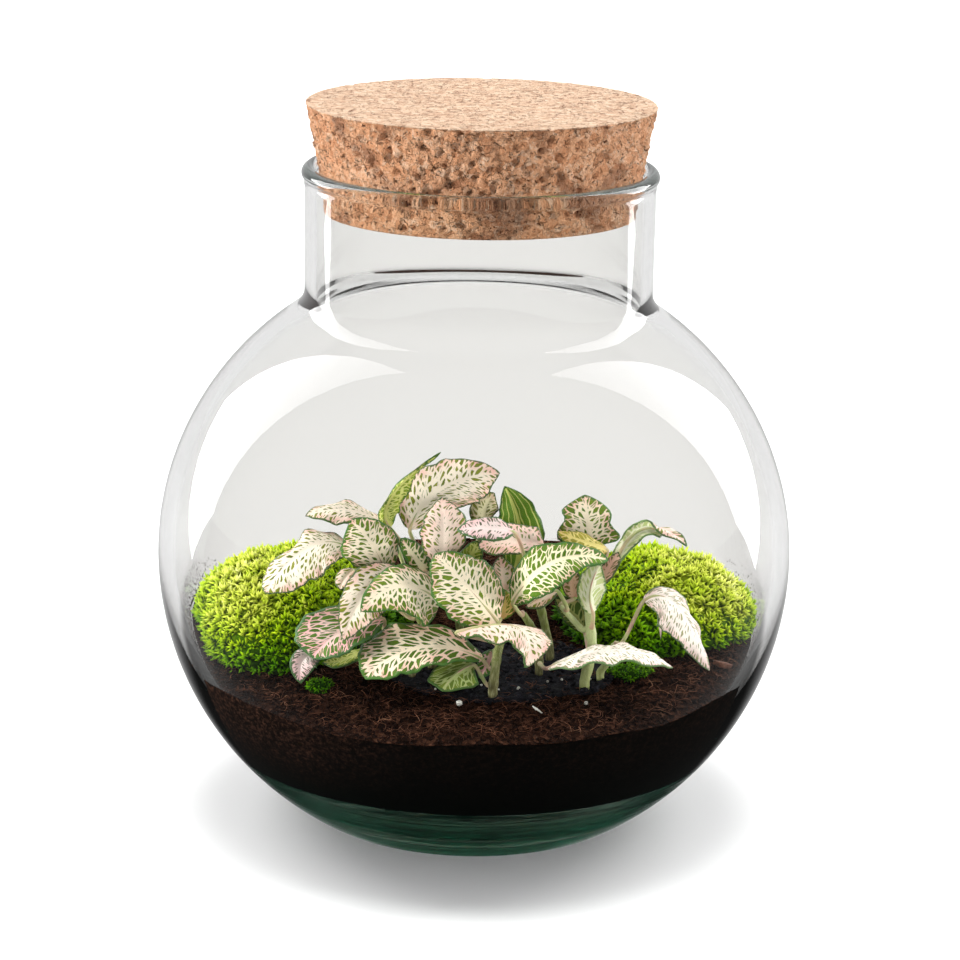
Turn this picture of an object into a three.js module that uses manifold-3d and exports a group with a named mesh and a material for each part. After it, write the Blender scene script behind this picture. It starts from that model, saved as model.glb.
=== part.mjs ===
// A closed glass jar garden: a round jar with a short neck and a cork, a bed of
// soil, moss cushions and a nerve plant with nine stems and thirty-six leaves.
// Millimetres, +Z up. The origin is the middle of the flat foot that the jar
// stands on; the front of the garden faces -Y.
import * as THREE from 'three';
import { mergeVertices } from 'three/addons/utils/BufferGeometryUtils.js';
import Module from 'manifold-3d';

const wasm = await Module();
wasm.setup();

// ---------------------------------------------------------------- dimensions
const GAP = 0.3;                 // space kept between neighbouring pieces

const BOWL_RADIUS = 100;         // outside, at the widest point
const BOWL_CENTRE = 84;          // height of the widest point
const BOWL_RISE = 95.5;          // the bowl's upper half, as half an ellipse
const BOWL_DROP = 98;            // the bowl's lower half, cut by the flat foot
const WALL = 5;                  // glass at the widest point
const SHOULDER_WALL = 4.5;
const FOOT_THICKNESS = 12;       // the heavy base, measured at the middle
const FOOT_EDGE = 2;             // rounding where the foot meets the bowl
const INNER_DROP = 87;           // inner lower half, so that the base thickens
const BOWL_POINTS = 8;           // points along each quarter of the bowl's profile

const NECK_RADIUS = 54;          // outside
const NECK_WALL = 3.6;
const NECK_FOOT = 167;           // where the straight neck leaves the shoulder
const NECK_FLARE = 1.5;          // how far the shoulder stops short of the neck
const NECK_INNER_FOOT = NECK_FOOT - 4;
const LIP_RADIUS = 55;
const LIP_TOP = 207;
const LIP_BEAD = 2.2;            // half the height of the rounded lip
const LIP_FOOT = LIP_TOP - 2.4 * LIP_BEAD;
const LIP_POINTS = 6;
const ROUND_STEPS = 40;          // flats around the jar

const CORK_TOP = 226.5;
const CORK_HEIGHT = 33;
const CORK_TOP_RADIUS = 53.8;
const CORK_FOOT_RADIUS = 48.2;    // so that it nearly meets the neck's rim
const CORK_CHAMFER = 0.8;

const SOIL_LEVEL = 62;           // height of the soil behind the plant
const SOIL_SLOPE = 0.1;          // it falls towards the front
const SOIL_BEND = 10;            // and bends over this far to the level part
const RIPPLE = 0.8;              // half height of the soil's long waves
const RIPPLE_LENGTH_X = 17;
const RIPPLE_LENGTH_Y = 13;
const RIPPLE_LENGTH_SHORT = 8;   // half as high, across the bed
const RIPPLE_START = 0.6;
const GROUND_STEPS = 18;
const PLANTING_TOP = BOWL_CENTRE + 30; // nothing but leaves reaches higher

const ROOT_BALL = { x: 8, y: -41, halfWidth: 37, halfDepth: 23, depth: 32 };
const ROOT_BALL_RISE = 1;        // how proud it stands of the soil
const ROOT_BALL_TAPER = 0.86;    // its foot is narrower than its top
const ROOT_BALL_SIDES = 28;
const ROOT_BALL_SPARE = 6;       // taken off again by the soil's surface

const MOSS_LOBE = 0.06;          // each cushion has three low lobes
const MOSS_LOBES = 3;
const MOSS_FLATNESS = 0.8;       // under 1 it is fuller than half an ellipsoid
const MOSS_ASPECT = 0.6;         // rows of faces for each face around

const BLADE_THICKNESS = 0.8;
const PETIOLE_RADIUS = 0.8;
const PETIOLE_RINGS = 3;
const PETIOLE_BEND = 0.35;       // length of its two curve handles
const BLADE_STATIONS = [0, 0.1, 0.26, 0.44, 0.62, 0.8, 0.93, 1];
const TIP_WIDTH = -0.02;         // closes the blade to a blunt point
const BASE_SWELL = 6;            // how quickly the petiole's thickness fades
const STEM_SIDES = 8;
const STEM_STEPS = 8;
const STEM_HEEL = 2;             // a stem starts straight out of what bears it
const STEM_LIFT = 1.5 * GAP;     // clears the uneven root ball under its foot

// ----------------------------------------------------------------- materials
const glassLook = { color: 0xe6ece9, roughness: 0.04, metalness: 0, transparent: true, opacity: 0.3 };
const corkLook = { color: 0xb98a5e, roughness: 0.9, metalness: 0 };
const soilLook = { color: 0x2b1c15, roughness: 1, metalness: 0 };
const rootBallLook = { color: 0x1d1a19, roughness: 1, metalness: 0 };
const mossLook = { color: 0x8fb521, roughness: 0.95, metalness: 0 };
const stemLook = { color: 0x8a9a3a, roughness: 0.6, metalness: 0 };
const creamLeafLook = { color: 0xe8dfcf, roughness: 0.55, metalness: 0 };
const greenLeafLook = { color: 0x5d8a1c, roughness: 0.5, metalness: 0 };

const terrarium = new THREE.Group();

function addPiece(name, geometry, look) {
  const piece = new THREE.Mesh(geometry, new THREE.MeshStandardMaterial(look));
  piece.name = name;
  terrarium.add(piece);
}

// ------------------------------------------------------------ solid geometry
function toSolid(geometry) {
  const bare = geometry.clone();
  bare.deleteAttribute('normal');
  bare.deleteAttribute('uv');
  const merged = mergeVertices(bare, 1e-4);
  return new wasm.Manifold(new wasm.Mesh({
    numProp: 3,
    vertProperties: new Float32Array(merged.attributes.position.array),
    triVerts: new Uint32Array(merged.index.array),
  }));
}

function toGeometry(solid) {
  const mesh = solid.getMesh();
  const geometry = new THREE.BufferGeometry();
  geometry.setAttribute('position', new THREE.BufferAttribute(mesh.vertProperties, mesh.numProp));
  geometry.setIndex(new THREE.BufferAttribute(mesh.triVerts, 1));
  return geometry;
}

// A profile of [radius, height] turned about the Z axis.
function turned(profile, steps = ROUND_STEPS) {
  const points = profile.map(([radius, height]) => new THREE.Vector2(radius, height));
  return new THREE.LatheGeometry(points, steps).rotateX(Math.PI / 2);
}

// Points on a quarter ellipse about the bowl's centre, between two heights.
function bowlCurve(radius, rise, fromHeight, toHeight) {
  const start = Math.asin((fromHeight - BOWL_CENTRE) / rise);
  const end = Math.asin((toHeight - BOWL_CENTRE) / rise);
  return Array.from({ length: BOWL_POINTS }, (_, i) => {
    const angle = start + (end - start) * i / (BOWL_POINTS - 1);
    return [radius * Math.cos(angle), BOWL_CENTRE + rise * Math.sin(angle)];
  });
}

// The room inside the bowl, from its floor to a given height, less a margin.
function bowlRoom(margin, top) {
  const radius = BOWL_RADIUS - WALL - margin;
  const lower = bowlCurve(radius, INNER_DROP - margin, FOOT_THICKNESS + margin, BOWL_CENTRE);
  const upper = bowlCurve(radius, BOWL_RISE - SHOULDER_WALL - margin, BOWL_CENTRE, top);
  return turned([[0, FOOT_THICKNESS + margin], ...lower, ...upper.slice(1), [0, top]]);
}

// ----------------------------------------------------------------- glass jar
function jarProfile() {
  const neckInside = NECK_RADIUS - NECK_WALL;
  const shoulderRise = BOWL_RISE - SHOULDER_WALL;
  const heightAt = (radius, wide, rise) => BOWL_CENTRE + rise * Math.sqrt(1 - (radius / wide) ** 2);
  const outerNeck = heightAt(NECK_RADIUS + NECK_FLARE, BOWL_RADIUS, BOWL_RISE);
  const innerNeck = heightAt(neckInside + NECK_FLARE, BOWL_RADIUS - WALL, shoulderRise);
  const footRadius = BOWL_RADIUS * Math.sqrt(1 - (BOWL_CENTRE / BOWL_DROP) ** 2);
  const lip = Array.from({ length: LIP_POINTS }, (_, i) => {
    const angle = -Math.PI / 2 + Math.PI * i / (LIP_POINTS - 1);
    const middle = (LIP_RADIUS + neckInside) / 2;
    const half = (LIP_RADIUS - neckInside) / 2;
    return [middle + half * Math.cos(angle), LIP_TOP - LIP_BEAD + LIP_BEAD * Math.sin(angle)];
  }).slice(1);
  return [
    [0, 0],
    [footRadius - FOOT_EDGE, 0],
    ...bowlCurve(BOWL_RADIUS, BOWL_DROP, FOOT_EDGE, BOWL_CENTRE),
    ...bowlCurve(BOWL_RADIUS, BOWL_RISE, BOWL_CENTRE, outerNeck).slice(1),
    [NECK_RADIUS, NECK_FOOT],
    [NECK_RADIUS, LIP_FOOT],
    ...lip,
    [neckInside, LIP_TOP - LIP_BEAD],
    [neckInside, NECK_INNER_FOOT],
    ...bowlCurve(BOWL_RADIUS - WALL, shoulderRise, innerNeck, BOWL_CENTRE),
    ...bowlCurve(BOWL_RADIUS - WALL, INNER_DROP, BOWL_CENTRE, FOOT_THICKNESS).slice(1),
    [0, FOOT_THICKNESS],
  ];
}

addPiece('glass_jar', turned(jarProfile()), glassLook);

// --------------------------------------------------------------- cork stopper
function corkProfile() {
  const foot = CORK_TOP - CORK_HEIGHT;
  return [
    [0, foot],
    [CORK_FOOT_RADIUS - CORK_CHAMFER, foot],
    [CORK_FOOT_RADIUS, foot + CORK_CHAMFER],
    [CORK_TOP_RADIUS, CORK_TOP - CORK_CHAMFER],
    [CORK_TOP_RADIUS - CORK_CHAMFER, CORK_TOP],
    [0, CORK_TOP],
  ];
}

addPiece('cork_stopper', turned(corkProfile()), corkLook);

// --------------------------------------------------------- soil and root ball
function soilHeight(x, y) {
  const long = Math.sin(x / RIPPLE_LENGTH_X + RIPPLE_START) * Math.cos(y / RIPPLE_LENGTH_Y);
  const short = Math.sin((x + y) / RIPPLE_LENGTH_SHORT);
  const forward = (y - Math.hypot(y, SOIL_BEND)) / 2;
  return SOIL_LEVEL + SOIL_SLOPE * forward + RIPPLE * (long + short / 2);
}

// A block with the soil's surface on top, raised by a given height.
function groundBlock(raise) {
  const size = 2 * BOWL_RADIUS;
  const block = new THREE.BoxGeometry(size, size, BOWL_RADIUS, GROUND_STEPS, GROUND_STEPS, 1);
  const places = block.attributes.position;
  for (let i = 0; i < places.count; i += 1) {
    const height = soilHeight(places.getX(i), places.getY(i)) + raise;
    places.setZ(i, places.getZ(i) > 0 ? height : -GAP);
  }
  return toSolid(block);
}

// The plant's own root ball, an oval tapered plug, grown by a margin.
function rootBall(margin) {
  const { x, y, halfWidth, halfDepth, depth } = ROOT_BALL;
  const ball = new THREE.CylinderGeometry(1, ROOT_BALL_TAPER, depth, ROOT_BALL_SIDES).rotateX(Math.PI / 2);
  ball.scale(halfWidth + margin, halfDepth + margin, 1);
  ball.translate(x, y, soilHeight(x, y) + ROOT_BALL_SPARE - depth / 2 - margin);
  return toSolid(ball);
}

const room = toSolid(bowlRoom(GAP, PLANTING_TOP));
const ground = groundBlock(0);
addPiece('soil', toGeometry(room.intersect(ground).subtract(rootBall(GAP))), soilLook);
const raisedGround = groundBlock(ROOT_BALL_RISE);
addPiece('root_ball', toGeometry(rootBall(0).intersect(raisedGround).intersect(room)), rootBallLook);

// ----------------------------------------------------------------------- moss
// Each cushion is a lumpy dome that lies on the soil and, where it reaches that
// far, against the glass.
const MOSS = {
  moss_cushion_left: { x: -60, y: -8, halfWidth: 40, halfDepth: 43, height: 22, detail: 22 },
  moss_cushion_right: { x: 61, y: 0, halfWidth: 36, halfDepth: 37, height: 21, detail: 22 },
  moss_tuft_right: { x: 49, y: -43, halfWidth: 8, halfDepth: 5, height: 4, detail: 12 },
  moss_tuft_left: { x: -45, y: -56, halfWidth: 4.5, halfDepth: 4, height: 4, detail: 12 },
};

function mossDome({ x, y, halfWidth, halfDepth, height, detail }) {
  const rows = Math.round(detail * MOSS_ASPECT);
  const dome = new THREE.SphereGeometry(1, detail, rows).rotateX(Math.PI / 2);
  const places = dome.attributes.position;
  for (let i = 0; i < places.count; i += 1) {
    const point = new THREE.Vector3().fromBufferAttribute(places, i);
    const turn = Math.atan2(point.y, point.x);
    const lobe = Math.sin(MOSS_LOBES * turn + x) * Math.hypot(point.x, point.y);
    const spread = 1 + MOSS_LOBE * lobe;
    const rise = Math.sign(point.z) * Math.abs(point.z) ** MOSS_FLATNESS;
    places.setXYZ(i, point.x * halfWidth * spread, point.y * halfDepth * spread, rise * height);
  }
  dome.translate(x, y, soilHeight(x, y));
  return toSolid(dome);
}

const mossFloor = groundBlock(GAP);
const rootBallRoom = rootBall(2 * GAP);
Object.entries(MOSS).forEach(([name, place]) => {
  const cushion = mossDome(place).subtract(mossFloor).subtract(rootBallRoom).intersect(room);
  addPiece(name, toGeometry(cushion), mossLook);
});

// ---------------------------------------------------------------------- stems
// Each stem stands on the root ball at its root, or grows from another stem, and
// passes the places of its path.
const STEMS = {
  front: { radius: 1.5, root: [6.5, -60], path: [[7.5, -59, 69], [9.5, -50, 75]] },
  middle: { radius: 1.3, root: [20.5, -43], path: [[20, -42, 68.5], [15, -44, 78]] },
  right: { radius: 1.6, root: [34, -53], path: [[36, -50, 69], [35, -43, 80], [36.5, -38, 90]] },
  far_right: { radius: 1.2, root: [39, -47], path: [[41, -48, 64], [43, -46, 69.5]] },
  back_left: { radius: 1.4, root: [-12, -42], path: [[-14, -39, 68.5], [-21, -38, 84]] },
  left: { radius: 1.2, root: [-18, -48], path: [[-22, -47, 66], [-27, -42, 71.5]] },
  centre_back: { radius: 1.4, root: [-3, -36], path: [[-4.5, -35, 73.5], [-9, -36, 87.5]] },
  right_back: { radius: 1.4, root: [24, -33], path: [[21, -31, 74.5], [16.5, -35, 90]] },
  branch: { radius: 1, from: 'right', at: 0.5, path: [[31, -45, 75.5], [26.5, -43, 80]] },
};

const vector = ([x, y, z]) => new THREE.Vector3(x, y, z);

const curves = {};

// Where a side shoot leaves a stem: on the stem's skin, facing a given point.
function seatOnStem(stem, at, towards) {
  const { curve, radius } = curves[stem];
  const axis = curve.getPointAt(at);
  const along = curve.getTangentAt(at);
  const outward = towards.clone().sub(axis);
  outward.addScaledVector(along, -outward.dot(along)).normalize();
  return { place: axis.addScaledVector(outward, radius + GAP), outward };
}

function stemStart({ root, from, at, path }) {
  if (from) {
    const { place, outward } = seatOnStem(from, at, vector(path[0]));
    return [place, place.clone().addScaledVector(outward, STEM_HEEL)];
  }
  const [x, y] = root;
  const foot = new THREE.Vector3(x, y, soilHeight(x, y) + ROOT_BALL_RISE + STEM_LIFT);
  return [foot, foot.clone().setZ(foot.z + STEM_HEEL)];
}

function tubeAlong(curve, radius, steps) {
  const corners = Array.from({ length: STEM_SIDES }, (_, i) => {
    const angle = 2 * Math.PI * i / STEM_SIDES;
    return new THREE.Vector2(radius * Math.cos(angle), radius * Math.sin(angle));
  });
  const section = new THREE.Shape(corners);
  return new THREE.ExtrudeGeometry(section, { steps, bevelEnabled: false, extrudePath: curve });
}

Object.entries(STEMS).forEach(([name, stem]) => {
  const curve = new THREE.CatmullRomCurve3([...stemStart(stem), ...stem.path.map(vector)]);
  curves[name] = { radius: stem.radius, curve };
  addPiece(`stem_${name}`, tubeAlong(curve, stem.radius, STEM_STEPS), stemLook);
});

// ------------------------------------------------------------ leaf geometry
// Half width of a blade, from 0 to 1 to 0 along its midrib.
function bladeOutline(u, widest, blunt) {
  const skew = Math.log(0.5) / Math.log(widest);
  return Math.sin(Math.PI * Math.min(1, u) ** skew) ** blunt;
}

// The eight corners of one section, given its half sides and half thickness.
function leafSection(centre, leftSide, rightSide, normal, half, camber) {
  const corner = (side, share, rise) => centre.clone()
    .addScaledVector(side, share).addScaledVector(normal, rise);
  const crown = camber / 2;
  return [
    corner(leftSide, 1, 0),
    corner(leftSide, 0.5, half + crown),
    corner(leftSide, 0, half),
    corner(rightSide, 0.5, half + crown),
    corner(rightSide, 1, 0),
    corner(rightSide, 0.5, crown - half),
    corner(leftSide, 0, -half),
    corner(leftSide, 0.5, crown - half),
  ];
}

// Rings of equal length joined into one closed skin, with a fan at each end.
function loft(rings) {
  const places = rings.flat().flatMap((point) => [point.x, point.y, point.z]);
  const size = rings[0].length;
  const faces = [];
  for (let ring = 0; ring + 1 < rings.length; ring += 1) {
    for (let i = 0; i < size; i += 1) {
      const a = ring * size + i;
      const b = ring * size + (i + 1) % size;
      faces.push(a, b, a + size, b, b + size, a + size);
    }
  }
  const last = (rings.length - 1) * size;
  for (let i = 1; i + 1 < size; i += 1) {
    faces.push(0, i + 1, i);
    faces.push(last, last + i, last + i + 1);
  }
  const geometry = new THREE.BufferGeometry();
  geometry.setAttribute('position', new THREE.Float32BufferAttribute(places, 3));
  geometry.setIndex(faces);
  return geometry;
}

// A leaf grows from a stem as a round petiole and opens into a blade. The blade
// is stretched from base to tip over its middle, and left and right are the
// margins at the middle, seen from above with the base nearest. They turn with
// the midrib, or keep their aim where the leaf says parallel.
function leafGeometry(leaf) {
  const { stem, at, base, middle, tip, left, right } = leaf;
  const { widest = 0.45, blunt = 0.72, camber = 1.2, parallel = false } = leaf;
  const [start, centre, end] = [base, middle, tip].map(vector);
  const control = centre.clone().multiplyScalar(2).sub(start.clone().add(end).multiplyScalar(0.5));
  const midrib = new THREE.QuadraticBezierCurve3(start, control, end);
  const leftSide = vector(left).sub(centre);
  const rightSide = vector(right).sub(centre);
  const middleAim = end.clone().sub(start).normalize();
  const { place, outward } = seatOnStem(stem, at, start);
  const reach = place.distanceTo(start);
  const baseAim = midrib.getTangent(0);
  const petiole = new THREE.CubicBezierCurve3(
    place,
    place.clone().addScaledVector(outward, PETIOLE_BEND * reach),
    start.clone().addScaledVector(baseAim, -PETIOLE_BEND * reach),
    start,
  );
  const rings = [];
  const addRing = (point, aim, width, half, bulge) => {
    const turn = new THREE.Quaternion();
    if (!parallel) turn.setFromUnitVectors(middleAim, aim);
    const sides = [leftSide, rightSide].map((side) => {
      const turnedSide = side.clone().applyQuaternion(turn);
      const length = PETIOLE_RADIUS + (turnedSide.length() - PETIOLE_RADIUS) * width;
      const slant = (1 - Math.max(0, width)) * turnedSide.dot(aim);
      return turnedSide.addScaledVector(aim, -slant).setLength(length);
    });
    const normal = sides[1].clone().sub(sides[0]).cross(aim).normalize();
    rings.push(leafSection(point, sides[0], sides[1], normal, half, bulge));
  };
  for (let i = 0; i < PETIOLE_RINGS; i += 1) {
    const t = i / PETIOLE_RINGS;
    addRing(petiole.getPoint(t), petiole.getTangent(t), 0, PETIOLE_RADIUS, 0);
  }
  BLADE_STATIONS.forEach((u) => {
    const width = u < 1 ? bladeOutline(u, widest, blunt) : TIP_WIDTH;
    const swell = (PETIOLE_RADIUS - BLADE_THICKNESS / 2) * (1 - u) ** BASE_SWELL;
    const half = BLADE_THICKNESS / 2 + swell;
    addRing(midrib.getPoint(u), midrib.getTangent(u), width, half, camber * Math.max(0, width));
  });
  return loft(rings);
}

// --------------------------------------------------------------------- leaves
const LEAVES = {
  far_left: {
    stem: 'back_left', at: 0.92, base: [-37.5, -38, 95], middle: [-49, -44, 97.5], tip: [-61.5, -52, 85.5],
    left: [-45, -51, 91], right: [-54, -38, 99.5],
    widest: 0.5, blunt: 0.55,
  },
  left_back: {
    stem: 'back_left', at: 0.8, base: [-27, -30, 100], middle: [-38.5, -31, 105], tip: [-51, -34, 104],
    left: [-40, -37, 102.5], right: [-39, -24, 105.5],
  },
  left_upright: {
    stem: 'back_left', at: 1, base: [-26.5, -41, 88.5], middle: [-30.5, -45, 99], tip: [-37, -43, 105.5],
    left: [-39.5, -46, 96], right: [-23.5, -40, 101],
    blunt: 0.6,
  },
  top_curled: {
    stem: 'centre_back', at: 0.9,
    base: [-25.5, -35, 101], middle: [-25.5, -35, 111], tip: [-10.5, -33, 124.5],
    left: [-28.5, -35, 107.5], right: [-22, -32, 108],
    widest: 0.36,
  },
  top_large: {
    stem: 'centre_back', at: 1, base: [-19.5, -34, 100.5], middle: [-10.5, -30, 112], tip: [7.5, -30, 117.5],
    left: [-15.5, -27, 118.5], right: [0, -33, 108.5],
  },
  centre_pink: {
    stem: 'centre_back', at: 0.85, base: [-10, -42, 91.5], middle: [-9.5, -43, 103], tip: [-10, -37, 111.5],
    left: [-16.5, -42, 102], right: [-2, -41, 104.5],
  },
  crown_front: {
    stem: 'right_back', at: 1, base: [11.5, -48, 104.5], middle: [3, -50, 106], tip: [-5, -49, 105],
    left: [4, -53, 103], right: [4, -46, 108.5],
  },
  crown_folded: {
    stem: 'right_back', at: 0.86, base: [21, -35, 96.5], middle: [10.5, -39, 98.5], tip: [1.5, -43, 97.5],
    left: [9.5, -43, 95.5], right: [13.5, -33, 102.5],
  },
  back_khaki: {
    stem: 'centre_back', at: 0.92, base: [3, -29, 101], middle: [3, -28, 106], tip: [6, -26, 110],
    left: [-1.5, -29, 106], right: [7.5, -26, 105],
  },
  back_veined: {
    stem: 'right_back', at: 0.75, base: [12, -32, 85], middle: [14, -28, 98], tip: [9, -22, 111],
    left: [7.5, -30, 100], right: [21, -27, 100],
    look: greenLeafLook,
  },
  right_back: {
    stem: 'right', at: 0.86, base: [36, -33, 95.5], middle: [34.5, -32, 103.5], tip: [33.5, -28, 110.5],
    left: [25.5, -32, 101.5], right: [43.5, -32, 101],
    widest: 0.42,
  },
  right_ochre: {
    stem: 'right', at: 0.95, base: [40, -40, 97], middle: [33, -41, 99.5], tip: [25, -39, 102],
    left: [34.5, -44, 96], right: [33, -37, 101],
  },
  far_right_twisted: {
    stem: 'right', at: 1, base: [42.5, -38, 91.5], middle: [51.5, -36, 102.5], tip: [64, -38, 98],
    left: [55, -38, 101], right: [48.5, -34, 103.5],
  },
  right_net: {
    stem: 'middle', at: 1, base: [12, -48, 82.5], middle: [24, -53, 97], tip: [40, -49, 96.5],
    left: [20, -48, 102], right: [26, -58, 91],
  },
  centre_large: {
    stem: 'front', at: 0.88, base: [7.5, -52, 77.5], middle: [-2, -54, 89.5], tip: [-11.5, -49, 97.5],
    left: [-10, -58, 84], right: [5, -47, 93.5],
    blunt: 0.62,
  },
  centre_arched: {
    stem: 'back_left', at: 0.72, base: [-10, -48, 82], middle: [-21.5, -54, 89], tip: [-33, -59, 82.5],
    left: [-15.5, -58, 79.5], right: [-23.5, -49, 94],
    widest: 0.36,
  },
  left_middle: {
    stem: 'back_left', at: 0.84, base: [-21.5, -46, 89.5], middle: [-31.5, -51, 86.5], tip: [-38, -58, 73],
    left: [-26.5, -55, 80.5], right: [-36.5, -49, 90],
  },
  left_pink: {
    stem: 'left', at: 0.95, base: [-27, -48, 76.5], middle: [-39, -53, 73.5], tip: [-47, -58, 67],
    left: [-36.5, -60, 70], right: [-51, -49, 76],
    blunt: 0.6,
  },
  left_curled: {
    stem: 'left', at: 0.35, base: [-45, -50, 65.5], middle: [-50.5, -54, 65], tip: [-50.5, -58, 59],
    left: [-46, -57, 63.5], right: [-53.5, -53, 66.5],
  },
  left_under: {
    stem: 'left', at: 0.7, base: [-30.5, -50, 67.5], middle: [-38.5, -53, 64.5], tip: [-44.5, -55, 64.5],
    left: [-38, -57, 64], right: [-38.5, -49, 65.5],
  },
  front_left: {
    stem: 'front', at: 0.35, base: [3, -57, 67.5], middle: [-15.5, -58, 71], tip: [-31.5, -62, 62.5],
    left: [-15.5, -66, 67], right: [-25.5, -50, 74.5],
    widest: 0.55, blunt: 0.6,
  },
  front_hanging: {
    stem: 'front', at: 0.12, base: [0.5, -58, 66], middle: [-4.5, -60, 63.5], tip: [-8.5, -64, 59.5],
    left: [-12.5, -60, 63.5], right: [1.5, -63, 61],
  },
  front_centre: {
    stem: 'front', at: 0.7, base: [-4.5, -60, 77], middle: [13.5, -62, 79.5], tip: [15.5, -69, 69.5],
    left: [22, -58, 76], right: [11.5, -67, 75],
    parallel: true,
  },
  front_small: {
    stem: 'front', at: 0.3, base: [6.5, -52, 68.5], middle: [5, -53, 65], tip: [2.5, -54, 60],
    left: [8.5, -53, 64.5], right: [2, -51, 65],
  },
  bud: {
    stem: 'front', at: 0.97, base: [8.5, -47, 77], middle: [9.5, -47, 81.5], tip: [9, -46, 86],
    left: [6.5, -46, 81], right: [12.5, -46, 81],
    look: greenLeafLook,
  },
  right_folded: {
    stem: 'right', at: 0.5, base: [36, -49, 80], middle: [35, -48, 87], tip: [38, -46, 94.5],
    left: [40, -45, 86.5], right: [31.5, -46, 89],
    look: greenLeafLook,
  },
  right_shaded: {
    stem: 'right', at: 0.3, base: [34, -40, 71], middle: [30, -38, 76], tip: [25, -37, 80.5],
    left: [27.5, -39, 74], right: [33.5, -37, 79],
    look: greenLeafLook,
  },
  right_brown: {
    stem: 'branch', at: 1, base: [31, -38, 81], middle: [30, -38, 85.5], tip: [30.5, -36, 90],
    left: [27, -38, 84.5], right: [33, -38, 85.5],
  },
  right_small: {
    stem: 'right', at: 0.7, base: [38, -44, 87], middle: [40.5, -43.5, 92], tip: [43.5, -42, 97],
    left: [38.5, -42, 92.5], right: [43.5, -44, 92.5],
  },
  right_underside: {
    stem: 'branch', at: 0.8, base: [25, -44, 85], middle: [20.5, -46, 83.5], tip: [16, -47, 80.5],
    left: [20.5, -44, 84.5], right: [21.5, -48, 81.5],
  },
  right_arched: {
    stem: 'far_right', at: 1, base: [51.5, -44, 82.5], middle: [61.5, -44, 81], tip: [72, -42, 59.5],
    left: [66, -40, 77.5], right: [56, -49, 75.5],
    widest: 0.42, blunt: 0.66,
  },
  front_right: {
    stem: 'middle', at: 0.15, base: [23, -57, 65], middle: [42, -61, 72.5], tip: [59, -61, 67.5],
    left: [43.5, -53, 71.5], right: [41.5, -69, 71.5],
  },
  left_inner: {
    stem: 'centre_back', at: 0.66, base: [-14.5, -41, 89], middle: [-18.5, -43, 95.5], tip: [-22, -42, 100],
    left: [-20, -43, 92.5], right: [-15, -41, 96.5],
    look: greenLeafLook,
  },
  centre_yellow: {
    stem: 'centre_back', at: 0.8, base: [-3.5, -38, 88.5], middle: [-1, -39, 93.5], tip: [1, -38, 98.5],
    left: [-4, -38, 95], right: [2.5, -39, 92],
    look: greenLeafLook,
  },
  inner_pink: {
    stem: 'right_back', at: 0.6, base: [10, -38, 81.5], middle: [9, -38, 87], tip: [8, -36, 93],
    left: [5.5, -38, 87.5], right: [14, -37, 86.5],
  },
  left_small: {
    stem: 'back_left', at: 0.6, base: [-36, -37, 88], middle: [-38.5, -39, 86], tip: [-40, -41, 83],
    left: [-37, -41, 84.5], right: [-41.5, -37, 86.5],
  },
};

Object.entries(LEAVES).forEach(([name, leaf]) => {
  addPiece(`leaf_${name}`, leafGeometry(leaf), leaf.look ?? creamLeafLook);
});

export default terrarium;
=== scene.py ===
"""A closed glass jar garden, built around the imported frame.

Shapes are made in millimetres and turned into metres when a piece is finished.
The origin is the middle of the flat foot, +Z is up, the front faces -Y.
"""
import random
from collections import namedtuple
from math import asin, atan2, ceil, cos, exp, hypot, log, pi, radians, sin, sqrt

import bmesh
import bpy
import numpy as np
from mathutils import Matrix, Quaternion, Vector, noise


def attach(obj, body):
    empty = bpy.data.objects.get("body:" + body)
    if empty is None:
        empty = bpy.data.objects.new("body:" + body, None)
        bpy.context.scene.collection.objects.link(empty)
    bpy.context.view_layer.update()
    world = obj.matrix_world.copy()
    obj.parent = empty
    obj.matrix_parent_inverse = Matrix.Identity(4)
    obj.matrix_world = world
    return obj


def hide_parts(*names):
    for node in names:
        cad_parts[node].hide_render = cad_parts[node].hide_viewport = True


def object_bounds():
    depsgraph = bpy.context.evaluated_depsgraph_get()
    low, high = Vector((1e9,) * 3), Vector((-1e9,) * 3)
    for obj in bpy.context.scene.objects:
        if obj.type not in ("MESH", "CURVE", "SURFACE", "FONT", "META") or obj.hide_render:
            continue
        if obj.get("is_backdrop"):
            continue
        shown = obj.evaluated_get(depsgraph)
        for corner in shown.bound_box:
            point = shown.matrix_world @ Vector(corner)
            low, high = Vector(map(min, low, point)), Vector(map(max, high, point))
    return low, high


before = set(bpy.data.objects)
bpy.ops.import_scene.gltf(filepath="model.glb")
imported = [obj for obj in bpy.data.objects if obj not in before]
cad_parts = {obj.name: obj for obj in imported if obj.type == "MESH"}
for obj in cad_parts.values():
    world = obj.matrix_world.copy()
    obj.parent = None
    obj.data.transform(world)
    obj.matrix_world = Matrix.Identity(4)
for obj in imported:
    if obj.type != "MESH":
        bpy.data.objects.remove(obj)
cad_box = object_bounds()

MM = 0.001
UP = Vector((0, 0, 1))
FULL_TURN = 6.28                 # the range that a random turn is drawn from
scene = bpy.context.scene


# --------------------------------------------------------------------- pieces
def as_mesh(shape, name):
    """Turns a shape into a mesh and lets go of the shape."""
    mesh = bpy.data.meshes.new(name)
    shape.to_mesh(mesh)
    shape.free()
    return mesh


def keep(shape, name, materials, nodes=(), smooth=True):
    """Finishes a shape in millimetres as a piece that stands for CAD nodes."""
    mesh = as_mesh(shape, name)
    mesh.transform(Matrix.Scale(MM, 4))
    for material in materials:
        mesh.materials.append(material)
    if smooth:
        mesh.shade_smooth()
    else:
        mesh.shade_flat()
    piece = bpy.data.objects.new(name, mesh)
    scene.collection.objects.link(piece)
    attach(piece, "root")
    if nodes:
        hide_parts(*nodes)


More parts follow.
